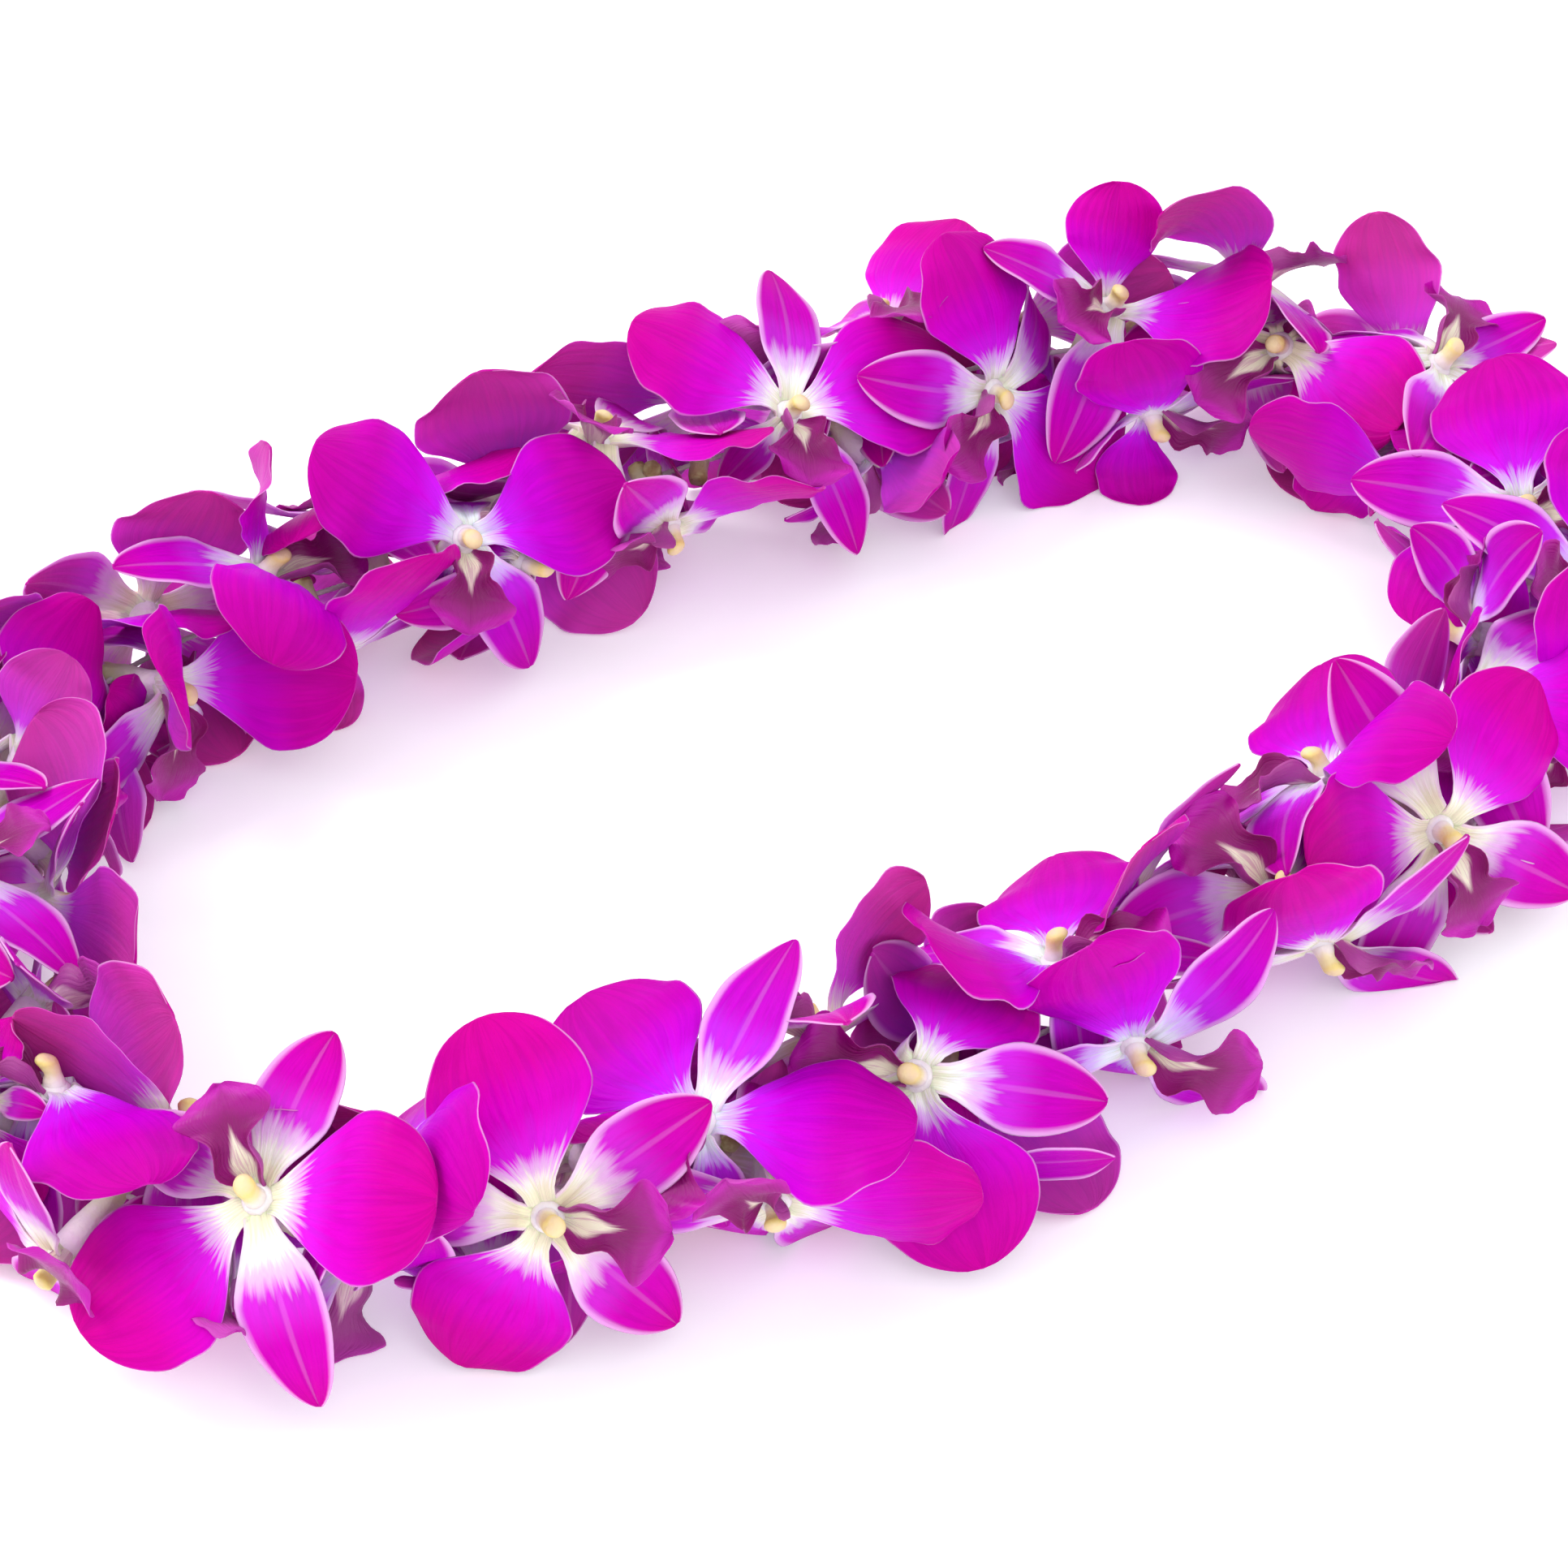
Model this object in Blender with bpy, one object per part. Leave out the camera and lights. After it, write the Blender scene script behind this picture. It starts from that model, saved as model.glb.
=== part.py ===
"""A fresh flower lei: dendrobium orchids threaded on one closed string, laid on a flat surface.

Metres, +Z up. The ring lies on z = 0 and its long way runs along X. Each bloom grew as one piece,
so it is one solid: a tube that the string runs through, a hub, three sepals, two petals and a lip.
"""

import math
import random
from collections import namedtuple

import bmesh
import bpy
import numpy as np
from mathutils.bvhtree import BVHTree

# ---------------------------------------------------------------- driving dimensions

BLOOMS = 59
LAYOUT_SEED = 5

# Plan of the string, clockwise from the left end, and how high it lies.
ROUTE = (
    (-0.173, 0.019),
    (-0.147, 0.062),
    (-0.111, 0.091),
    (-0.069, 0.101),
    (-0.012, 0.088),
    (0.060, 0.076),
    (0.125, 0.066),
    (0.168, 0.031),
    (0.177, -0.024),
    (0.152, -0.073),
    (0.106, -0.099),
    (0.047, -0.104),
    (-0.020, -0.103),
    (-0.085, -0.090),
    (-0.140, -0.067),
    (-0.174, -0.028),
)
ROUTE_STEPS = 40
STRING_HEIGHT = 0.0260
STRING_WAVE = 0.0015
STRING_WAVES = 5
STRING_RADIUS = 0.0006
BORE_RADIUS = 0.0010
STRING_SEGMENTS = 2 * BLOOMS
STRING_SIDES = 6

# The knot between the last bloom and the first, and its two cut tails.
KNOT_RADIUS = 0.0017
TAIL_LENGTH = 0.008
TAIL_START = 0.1
TAIL_POINTS = 4
TAIL_SPREAD = math.radians(12)
TAIL_DROP = 0.003

# How the blooms stand round the string: 0 degrees is away from the middle of the ring, 90 is up.
# Each turns on from the last by the golden part of the span, so that no side is left bare.
FACING_LOW = math.radians(-52)
FACING_SPAN = math.radians(284)
GOLDEN_PART = 0.381966
FIRST_FACING = 0.75
FACING_JITTER = math.radians(14)
LEAN_RANGE = (math.radians(-4), math.radians(36))
PITCH_JITTER = 0.12
TUBE_RANGE = (0.0120, 0.0160)

# A bloom's hub and tube. Each of the tube's sections has its part of the tube's length, its radius
# and how far it is set off towards the lip.
HUB_RADIUS = 0.0042
HUB_THICKNESS = 0.0016
COLUMN_HEIGHT = 0.0050
CHIN = (0.64, 0.0036, 0.0013)
NECK = (0.16, 0.0026, 0.0)
STUB = (-0.24, 0.0023, 0.0)
STUB_END = -0.31

# A sepal, petal or lip: its place round the hub, length, half width, where it is fullest, its
# claw's part of the width, how pointed its tip is, and its natural rise, curl and cup.
Kind = namedtuple("Kind", "name place length half_width fullest claw point rise curl cup")
LIP = Kind("lip", 180, 0.0200, 0.0078, 0.60, 0.42, 0.50, 46, -60, 0.75)
PETAL = Kind("petal", 68, 0.0350, 0.0150, 0.55, 0.19, 0.50, 2, -26, -0.32)
BACK_SEPAL = Kind("sepal", 0, 0.0340, 0.0078, 0.46, 0.36, 0.70, -9, -22, 0.22)
SIDE_SEPAL = Kind("sepal", 140, 0.0330, 0.0080, 0.46, 0.36, 0.70, -12, -24, 0.22)
KINDS = (
    LIP,
    PETAL,
    PETAL._replace(place=-PETAL.place),
    BACK_SEPAL,
    SIDE_SEPAL,
    SIDE_SEPAL._replace(place=-SIDE_SEPAL.place),
)
SIZE_JITTER = 0.07
CUP_JITTER = 0.2
RISE_SPREAD = 6
CURL_SPREAD = 11
SWAY_SPREAD = 3.5
TWIST_SPREAD = 8
ORGAN_THICKNESS = 0.0009
SPINE_STEPS = 12
STATIONS = {"petal": (0.26, 0.58, 0.87), "sepal": (0.22, 0.50, 0.82), "lip": (0.42, 0.82)}

# How far an organ may give way to its neighbours: it tries more and more bent postures, each within
# what its kind can do, and where none has room it grew smaller.
POSTURES = 320
RISE_GIVE = math.radians(95)
CURL_GIVE = math.radians(100)
SWAY_GIVE = math.radians(35)
TWIST_GIVE = math.radians(70)
RISE_LIMITS = {"lip": (34, 80), "petal": (-80, 72), "sepal": (-85, 24)}
STUNTING = (1.0, 0.88, 0.74, 0.58, 0.42, 0.3)
STRAND_RADIUS = 0.037
PRESSED = 0.0035

# The room between a bloom's hub and tube and those of the others, and between organs.
FRAME_TRIES = 200
LOWEST_CORE = 0.003
HUBS_APART = 0.016
HUB_CLEARANCE = 0.0015
TUBES_APART = 0.0010
CLEARANCE = 0.0004
OFF_HUB = 0.0003
OWN_CLEARANCE = 0.00003

# Every bloom's lip is laid out first, then its petals, then its sepals. Blooms further apart than
# the reach can't meet.
GROUPS = ((0,), (1, 2), (3, 4, 5))
REACH = 0.085
DIRECTION_STEP = 0.05

PETAL_COLOUR = (0.60, 0.0, 0.42, 1.0)
STRING_COLOUR = (0.85, 0.83, 0.78, 1.0)

Organ = namedtuple("Organ", "kind base root out side axis length half_width rise curl sway twist cup")
Bloom = namedtuple("Bloom", "root axis centre across over length organs")


# ---------------------------------------------------------------- the string's route


def string_height(turn):
    """Height of the string where it has gone the given part of its way round."""
    return STRING_HEIGHT + STRING_WAVE * math.sin(2 * math.pi * STRING_WAVES * turn)


def smooth_route():
    """Closed Catmull-Rom curve through the route's points, finely sampled."""
    knots = np.array(ROUTE)
    steps = np.linspace(0, 1, ROUTE_STEPS, endpoint=False)[:, None]
    pieces = []
    for i in range(len(knots)):
        before, start, end, after = (knots[(i + k) % len(knots)] for k in (-1, 0, 1, 2))
        pieces.append(
            start
            + 0.5 * steps * (end - before)
            + steps**2 * (before - 2.5 * start + 2 * end - 0.5 * after)
            + steps**3 * (1.5 * (start - end) + 0.5 * (after - before))
        )
    return np.concatenate(pieces)


def string_points(count, offset=0.0):
    """Points evenly spaced along the string, the first one the given part of a space along it."""
    plan = smooth_route()
    closed = np.vstack((plan, plan[:1]))
    run = np.concatenate(([0.0], np.cumsum(np.linalg.norm(np.diff(closed, axis=0), axis=1))))
    turns = (np.arange(count) + offset) / count
    return np.array([point_at(closed, run, turn) for turn in turns])


def point_at(closed, run, turn):
    place = (turn % 1.0) * run[-1]
    return np.array(
        (
            np.interp(place, run, closed[:, 0]),
            np.interp(place, run, closed[:, 1]),
            string_height(turn % 1.0),
        )
    )


def unit(vector):
    return vector / np.linalg.norm(vector)


def string_place(shift):
    """Where the string is after the given number of blooms, and its direction there."""
    place, before, after = (
        string_points(BLOOMS, shift + step)[0] for step in (0.0, -DIRECTION_STEP, DIRECTION_STEP)
    )
    return place, unit(after - before)


# The string's own points: each bloom hangs near the middle of a straight stretch.
STRING_LINE = string_points(STRING_SEGMENTS, 0.5)


# ---------------------------------------------------------------- one organ's surface


def half_width_at(organ, u):
    """Half width along an organ: a narrow claw, the fullest place, then a rounded or pointed tip."""
    kind = organ.kind
    rising = np.clip(u / kind.fullest, 0, 1)
    claw = kind.claw + (1 - kind.claw) * rising**2 * (3 - 2 * rising)
    falling = np.clip((u - kind.fullest) / (1 - kind.fullest), 0, 1)
    return organ.half_width * claw * (1 - falling**2) ** kind.point


def spine(organ, u):
    """Middle line of an organ at the given stations, with its direction, side and front there."""
    steps = np.linspace(0, 1, SPINE_STEPS + 1)
    rise = organ.rise + organ.curl * steps
    sway = organ.sway * steps
    outward = np.cos(sway)[:, None] * organ.out + np.sin(sway)[:, None] * organ.side
    along = np.cos(rise)[:, None] * outward + np.sin(rise)[:, None] * organ.axis
    middle = 0.5 * (along[1:] + along[:-1]) * (organ.length / SPINE_STEPS)
    points = organ.base + np.vstack((np.zeros(3), np.cumsum(middle, axis=0)))
    low = np.minimum((u * SPINE_STEPS).astype(int), SPINE_STEPS - 1)
    part = (u * SPINE_STEPS - low)[:, None]
    place = points[low] * (1 - part) + points[low + 1] * part
    rise = (organ.rise + organ.curl * u)[:, None]
    sway = (organ.sway * u)[:, None]
    twist = (organ.twist * u)[:, None]
    outward = np.cos(sway) * organ.out + np.sin(sway) * organ.side
    flat_side = np.cos(sway) * organ.side - np.sin(sway) * organ.out
    flat_front = np.cos(rise) * organ.axis - np.sin(rise) * outward
    side = np.cos(twist) * flat_side + np.sin(twist) * flat_front
    front = np.cos(twist) * flat_front - np.sin(twist) * flat_side
    return place, side, front


def pressed(points, floor):
    """Points that the surface below has pushed up to at least the given height."""
    points[:, 2] = np.maximum(points[:, 2], floor)
    return points


def organ_rings(organ, spare=0.0):
    """Four-cornered sections of an organ: left edge, front ridge, right edge and back ridge."""
    u = np.array(STATIONS[organ.kind.name])
    place, side, front = spine(organ, u)
    width = (half_width_at(organ, u) + spare)[:, None]
    thick = 0.5 * ORGAN_THICKNESS + spare
    edge_out = side * width * (math.sin(organ.cup) / organ.cup)
    edge_up = front * width * ((1 - math.cos(organ.cup)) / organ.cup)
    face = np.where(front[:, 2:] >= 0, 1.0, -1.0)
    top = pressed(place + face * front * thick, 2 * thick - spare)
    bottom = pressed(place - face * front * thick, -spare)
    ridge_front = np.where(face > 0, top, bottom)
    ridge_back = np.where(face > 0, bottom, top)
    left = pressed(place - edge_out + edge_up, -spare)
    right = pressed(place + edge_out + edge_up, -spare)
    return np.stack((left, ridge_front, right, ridge_back), axis=1)


def organ_tip(organ, spare=0.0):
    place, side, front = spine(organ, np.array((1.0 + spare / organ.length,)))
    return pressed(place, -spare)


def lowest(organ):
    """Height of an organ's lowest point before the surface pushes it up."""
    u = np.array(STATIONS[organ.kind.name] + (1.0,))
    place, side, front = spine(organ, u)
    drop = np.abs(side[:, 2]) * half_width_at(organ, u)
    return (place[:, 2] - drop).min()


def band(low, high):
    """The faces between two sections, listed so that front and back are cut along the same line."""
    return [
        (low[0], low[1], high[1], high[0]),
        (low[1], low[2], high[2], high[1]),
        (low[3], high[3], high[2], low[2]),
        (low[0], high[0], high[3], low[3]),
    ]


def organ_faces(organ, root, start):
    """Faces from the section with the given root points, through the organ's own, to its tip."""
    faces = []
    below = root
    for k in range(len(STATIONS[organ.kind.name])):
        above = range(start + 4 * k, start + 4 * k + 4)
        faces += band(below, above)
        below = above
    tip = start + 4 * len(STATIONS[organ.kind.name])
    return faces + [(below[k], below[(k + 1) % 4], tip) for k in range(4)]


def organ_shell(organ, spare=0.0):
    """An organ on its own, with room to spare all round, from just off the hub to its tip."""
    rings = organ_rings(organ, spare)
    part = OFF_HUB / (organ.length * STATIONS[organ.kind.name][0])
    first = organ.root * (1 - part) + rings[0] * part
    points = np.vstack((first, rings.reshape(-1, 3), organ_tip(organ, spare)))
    return points, organ_faces(organ, range(4), 4)


def triangles(faces):
    """The same faces cut into triangles."""
    return [(f[0], f[k], f[k + 1]) for f in faces for k in range(1, len(f) - 1)]


# ---------------------------------------------------------------- one bloom's hub and tube


def place_angle(kind):
    return math.radians(kind.place)


def sector_corners():
    """Angles round the hub where one organ's base ends and the next begins, going round."""
    around = sorted((place_angle(kind) % (2 * math.pi), i) for i, kind in enumerate(KINDS))
    corners = {}
    for k, (angle, i) in enumerate(around):
        before = around[k - 1][0] - (2 * math.pi if k == 0 else 0)
        after = around[(k + 1) % len(around)][0] + (2 * math.pi if k == len(around) - 1 else 0)
        corners[i] = (0.5 * (before + angle), 0.5 * (angle + after))
    return [i for _, i in around], corners


ORDER, CORNERS = sector_corners()


def hub_direction(bloom, angle):
    return math.cos(angle) * bloom.across + math.sin(angle) * bloom.over


def base_radius(index):
    """Distance from the hub's middle to the middle of an organ's base."""
    low, high = CORNERS[index]
    return HUB_RADIUS * math.cos(0.5 * (high - low))


def core_mesh(bloom, spare=0.0):
    """Hub and tube: outer ring of corners and base ridges, then the tube's rings down to its stub."""
    rim = HUB_RADIUS + spare
    points = []
    for i in ORDER:
        low, high = CORNERS[i]
        middle = bloom.centre + hub_direction(bloom, place_angle(KINDS[i])) * base_radius(i)
        points.append(bloom.centre + hub_direction(bloom, low) * rim)
        points.append(middle + bloom.axis * 0.5 * HUB_THICKNESS)
        points.append(middle - bloom.axis * 0.5 * HUB_THICKNESS)
    chin_way = hub_direction(bloom, math.pi)
    for part, radius, shift in (CHIN, NECK, STUB):
        middle = bloom.root + bloom.axis * bloom.length * part + chin_way * shift
        for i in ORDER:
            points.append(middle + hub_direction(bloom, CORNERS[i][0]) * (radius + spare))
    points.append(bloom.root + bloom.axis * bloom.length * STUB_END)
    points.append(bloom.centre + bloom.axis * COLUMN_HEIGHT)
    count = len(ORDER)
    ring, stub_tip, column_tip = 3 * count, 6 * count, 6 * count + 1
    faces = []
    for k in range(count):
        after = (k + 1) % count
        corner, front, back, following = 3 * k, 3 * k + 1, 3 * k + 2, 3 * after
        faces.append((corner, front, column_tip))
        faces.append((front, following, column_tip))
        faces.append((back, corner, ring + k))
        faces.append((back, ring + k, ring + after))
        faces.append((following, back, ring + after))
        for row in (0, count):
            near, far = ring + row, ring + row + count
            faces.append((near + k, far + k, far + after, near + after))
        faces.append((ring + 2 * count + k, stub_tip, ring + 2 * count + after))
    return np.array(points), faces


def bloom_mesh(bloom):
    """Points and faces of a whole bloom as one closed surface."""
    core, faces = core_mesh(bloom)
    points = [core]
    start = len(core)
    for k, i in enumerate(ORDER):
        organ = bloom.organs[i]
        root = (3 * k, 3 * k + 1, 3 * ((k + 1) % len(ORDER)), 3 * k + 2)
        faces += organ_faces(organ, root, start)
        points += [organ_rings(organ).reshape(-1, 3), organ_tip(organ)]
        start += 4 * len(STATIONS[organ.kind.name]) + 1
    return np.vstack(points), faces


# ---------------------------------------------------------------- laying the blooms out


def natural_organ(bloom, index, chance):
    """An organ as it grows with nothing in its way."""
    kind = KINDS[index]
    out = hub_direction(bloom, place_angle(kind))
    size = 1 + chance.uniform(-SIZE_JITTER, SIZE_JITTER)
    base = bloom.centre + out * base_radius(index)
    low, high = (bloom.centre + hub_direction(bloom, a) * HUB_RADIUS for a in CORNERS[index])
    half = bloom.axis * 0.5 * HUB_THICKNESS
    return Organ(
        kind=kind,
        base=base,
        root=np.array((low, base + half, high, base - half)),
        out=out,
        side=np.cross(bloom.axis, out),
        axis=bloom.axis,
        length=kind.length * size,
        half_width=kind.half_width * size,
        rise=math.radians(kind.rise + chance.gauss(0, RISE_SPREAD)),
        curl=math.radians(kind.curl + chance.gauss(0, CURL_SPREAD)),
        sway=math.radians(chance.gauss(0, SWAY_SPREAD)),
        twist=math.radians(chance.gauss(0, TWIST_SPREAD)),
        cup=kind.cup * chance.uniform(1 - CUP_JITTER, 1 + CUP_JITTER),
    )


def bent(organ, effort, chance):
    """The organ bent aside at random, further with more effort."""
    return organ._replace(
        rise=organ.rise + effort * chance.uniform(-RISE_GIVE, RISE_GIVE),
        curl=organ.curl + effort * chance.uniform(-CURL_GIVE, CURL_GIVE),
        sway=organ.sway + effort * chance.uniform(-SWAY_GIVE, SWAY_GIVE),
        twist=organ.twist + effort * chance.uniform(-TWIST_GIVE, TWIST_GIVE),
    )


def tree_of(meshes):
    points, faces = [], []
    for mesh_points, mesh_faces in meshes:
        start = len(points)
        points.extend(map(tuple, mesh_points))
        faces.extend(tuple(start + v for v in face) for face in mesh_faces)
    return BVHTree.FromPolygons(points, triangles(faces)) if faces else None


def touches(mesh, tree):
    return tree is not None and bool(tree_of([mesh]).overlap(tree))


def bends_so_far(organ):
    """Whether an organ of its kind can stand that far forward or back."""
    low, high = RISE_LIMITS[organ.kind.name]
    return math.radians(low) < organ.rise < math.radians(high)


def strays(organ):
    """Whether an organ's tip stands further from the string than the strand is thick."""
    tip = spine(organ, np.array((1.0,)))[0]
    return np.linalg.norm(STRING_LINE - tip, axis=1).min() > STRAND_RADIUS


def settle(organ, others, own, chance):
    """The organ in the least bent posture that clears the others; where none does, it grew smaller."""
    for stunting in STUNTING:
        small = organ._replace(length=organ.length * stunting, half_width=organ.half_width * stunting)
        for k in range(POSTURES):
            tried = bent(small, k / POSTURES, chance)
            if not bends_so_far(tried) or lowest(tried) < -PRESSED or strays(tried):
                continue
            if touches(organ_shell(tried, CLEARANCE), others):
                continue
            if not touches(organ_shell(tried, OWN_CLEARANCE), own):
                return tried
    raise RuntimeError(f"a {organ.kind.name} has no room: try another LAYOUT_SEED")


def placed_bloom(root, along, facing, lean, roll, length):
    """A bloom's frame: where it hangs on the string and which way it faces."""
    up = unit(np.array((0.0, 0.0, 1.0)) - along * along[2])
    away = np.cross(up, along)
    radial = math.cos(facing) * away + math.sin(facing) * up
    axis = math.cos(lean) * radial + math.sin(lean) * along
    flat = unit(along - axis * along.dot(axis))
    other = np.cross(axis, flat)
    across = math.cos(roll) * flat + math.sin(roll) * other
    return Bloom(root, axis, root + axis * length, across, np.cross(axis, across), length, [])


def place_frames(chance):
    """Where every bloom hangs and which way it faces, with hubs and tubes clear of each other."""
    frames = []
    knot = knot_meshes(2 * CLEARANCE)
    for i in range(BLOOMS):
        shift = i + chance.uniform(-PITCH_JITTER, PITCH_JITTER)
        root, along = string_place(shift)
        near = tree_of([core_mesh(other) for other in frames if close(other.root, root)] + knot)
        for _ in range(FRAME_TRIES):
            facing = FACING_LOW + FACING_SPAN * ((i * GOLDEN_PART + FIRST_FACING) % 1.0)
            bloom = placed_bloom(
                root,
                along,
                facing + chance.uniform(-FACING_JITTER, FACING_JITTER),
                chance.uniform(*LEAN_RANGE),
                chance.uniform(0, 2 * math.pi),
                chance.uniform(*TUBE_RANGE),
            )
            core = core_mesh(bloom, TUBES_APART)
            apart = min((np.linalg.norm(bloom.centre - other.centre) for other in frames), default=1.0)
            low = core[0][:, 2].min() < LOWEST_CORE
            if apart > HUBS_APART and not low and not touches(core, near):
                break
        else:
            raise RuntimeError(f"bloom {i + 1} has no room for its tube")
        frames.append(bloom)
    return frames


def close(place, other):
    return np.linalg.norm(place - other) < REACH


def lay_out():
    """All the blooms along the string, each clear of the others, of the string and of the surface."""
    chance = random.Random(LAYOUT_SEED)
    frames = place_frames(chance)
    guard = tube_mesh(STRING_LINE, BORE_RADIUS + CLEARANCE, STRING_SIDES)
    guards = [guard] + knot_meshes(2 * CLEARANCE)
    cores = [core_mesh(bloom) for bloom in frames]
    kept_clear = [core_mesh(bloom, HUB_CLEARANCE) for bloom in frames]
    organs = [{} for _ in frames]
    for group in GROUPS:
        for i, bloom in enumerate(frames):
            near = [k for k, other in enumerate(frames) if k != i and close(other.root, bloom.root)]
            taken = [organ_shell(organ) for k in near for organ in organs[k].values()]
            others = tree_of(taken + [kept_clear[k] for k in near] + guards)
            for index in group:
                mine = [organ_shell(organ) for organ in organs[i].values()]
                own = tree_of(mine + [cores[i]])
                organs[i][index] = settle(natural_organ(bloom, index, chance), others, own, chance)
    return [bloom._replace(organs=kept) for bloom, kept in zip(frames, organs)]


def to_middle(meshes):
    """The move that puts the middle of all the meshes' box over the origin."""
    points = np.vstack([mesh_points for mesh_points, _ in meshes])
    middle = 0.5 * (points.min(axis=0) + points.max(axis=0))
    return np.array((-middle[0], -middle[1], 0.0))


# ---------------------------------------------------------------- meshes and materials


def tube_mesh(points, radius, sides, closed=True):
    """Points and faces of a round tube along a closed run of points, or the skin for an open one."""
    count = len(points)
    vertices = []
    for i in range(count):
        before, after = (i - 1, (i + 1) % count) if closed else (max(i - 1, 0), min(i + 1, count - 1))
        along = unit(points[after] - points[before])
        up = unit(np.array((0.0, 0.0, 1.0)) - along * along[2])
        away = np.cross(up, along)
        for k in range(sides):
            angle = 2 * math.pi * (k + 0.5) / sides
            vertices.append(points[i] + radius * (math.cos(angle) * away + math.sin(angle) * up))
    faces = []
    for i in range(count):
        for k in range(sides):
            here, there = i * sides, ((i + 1) % count) * sides
            faces.append((here + k, here + (k + 1) % sides, there + (k + 1) % sides, there + k))
    return np.array(vertices), faces


def run_mesh(points, radius, sides):
    """Points and faces of an open round tube with flat ends along a run of points."""
    vertices, faces = tube_mesh(points, radius, sides, closed=False)
    faces = faces[: (len(points) - 1) * sides]
    faces.append(tuple(range(sides)))
    faces.append(tuple(range((len(points) - 1) * sides, len(points) * sides)))
    return vertices, faces


def knot_meshes(spare=0.0):
    """The knot that closes the ring, as a ball between two blooms, and its two short tails."""
    middle, along = string_place(-0.5)
    away = unit(np.cross((0.0, 0.0, 1.0), along))
    ball = bmesh.new()
    bmesh.ops.create_icosphere(ball, subdivisions=2, radius=KNOT_RADIUS + spare)
    points = np.array([middle + np.array(vertex.co) for vertex in ball.verts])
    meshes = [(points, [tuple(v.index for v in face.verts) for face in ball.faces])]
    ball.free()
    for turn in (-1, 1):
        way = math.cos(TAIL_SPREAD) * away + turn * math.sin(TAIL_SPREAD) * along
        reach = np.linspace(TAIL_START, 1.0, TAIL_POINTS)
        drop = np.outer(reach**2, (0.0, 0.0, -TAIL_DROP))
        run = middle + np.outer(reach * TAIL_LENGTH, way) + drop
        meshes.append(run_mesh(run, STRING_RADIUS + spare, STRING_SIDES))
    return meshes


def mesh_object(name, points, faces, material):
    mesh = bpy.data.meshes.new(name)
    mesh.from_pydata([tuple(p) for p in points], [], triangles(faces))
    work = bmesh.new()
    work.from_mesh(mesh)
    bmesh.ops.recalc_face_normals(work, faces=work.faces)
    work.to_mesh(mesh)
    work.free()
    mesh.materials.append(material)
    thing = bpy.data.objects.new(name, mesh)
    bpy.context.collection.objects.link(thing)
    return thing


def plain_material(name, colour, roughness):
    material = bpy.data.materials.new(name)
    material.use_nodes = True
    shader = material.node_tree.nodes["Principled BSDF"]
    shader.inputs["Base Color"].default_value = colour
    shader.inputs["Roughness"].default_value = roughness
    return material


def as_tool(thing):
    """Mark an object as one that only cuts or joins others."""
    thing.hide_render = True
    thing.display_type = "WIRE"
    return thing


def boolean(target, tool, operation):
    modifier = target.modifiers.new(tool.name, "BOOLEAN")
    modifier.operation = operation
    modifier.solver = "EXACT"
    modifier.object = tool


def main():
    for thing in list(bpy.data.objects):
        bpy.data.objects.remove(thing, do_unlink=True)
    petal = plain_material("orchid_petal", PETAL_COLOUR, 0.5)
    cotton = plain_material("cotton_string", STRING_COLOUR, 0.9)
    bore_mesh = tube_mesh(STRING_LINE, BORE_RADIUS, STRING_SIDES)
    bore = as_tool(mesh_object("string_bore", *bore_mesh, cotton))
    meshes = [bloom_mesh(bloom) for bloom in lay_out()]
    for i, mesh in enumerate(meshes):
        boolean(mesh_object(f"orchid_{i + 1:02d}", *mesh, petal), bore, "DIFFERENCE")
    string = mesh_object("string", *tube_mesh(STRING_LINE, STRING_RADIUS, STRING_SIDES), cotton)
    for k, tied in enumerate(knot_meshes()):
        boolean(string, as_tool(mesh_object(f"knot_piece_{k}", *tied, cotton)), "UNION")
    move = to_middle(meshes)
    for thing in bpy.data.objects:
        thing.location = move


main()
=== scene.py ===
"""The looks of a fresh flower lei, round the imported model: fine blooms where the CAD's plain ones lie.

The first half repeats the CAD model's own layout, so that each fine bloom has the places, sizes and
postures of the solid that it replaces. The second half hangs 20 more blooms between them, and makes the
petals, materials, string, light and camera.
"""

import math
import random
from collections import namedtuple

import bmesh
import bpy
import numpy as np
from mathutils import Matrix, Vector
from mathutils.bvhtree import BVHTree


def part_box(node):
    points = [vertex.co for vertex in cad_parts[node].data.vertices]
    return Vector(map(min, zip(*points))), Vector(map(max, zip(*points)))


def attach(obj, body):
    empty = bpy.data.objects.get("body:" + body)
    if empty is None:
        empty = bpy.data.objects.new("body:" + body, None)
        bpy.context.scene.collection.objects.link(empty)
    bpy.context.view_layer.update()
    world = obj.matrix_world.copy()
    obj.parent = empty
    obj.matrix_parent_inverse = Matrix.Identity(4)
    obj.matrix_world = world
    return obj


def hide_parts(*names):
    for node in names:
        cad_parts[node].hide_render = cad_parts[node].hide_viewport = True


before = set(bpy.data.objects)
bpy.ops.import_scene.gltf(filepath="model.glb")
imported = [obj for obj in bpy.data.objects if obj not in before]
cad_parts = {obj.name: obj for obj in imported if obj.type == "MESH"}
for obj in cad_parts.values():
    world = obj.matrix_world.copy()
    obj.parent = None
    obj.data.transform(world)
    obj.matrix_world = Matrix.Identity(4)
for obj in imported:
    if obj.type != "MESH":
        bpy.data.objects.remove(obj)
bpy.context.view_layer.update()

# ---------------------------------------------------------------- driving dimensions

BLOOMS = 59
LAYOUT_SEED = 5

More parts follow.
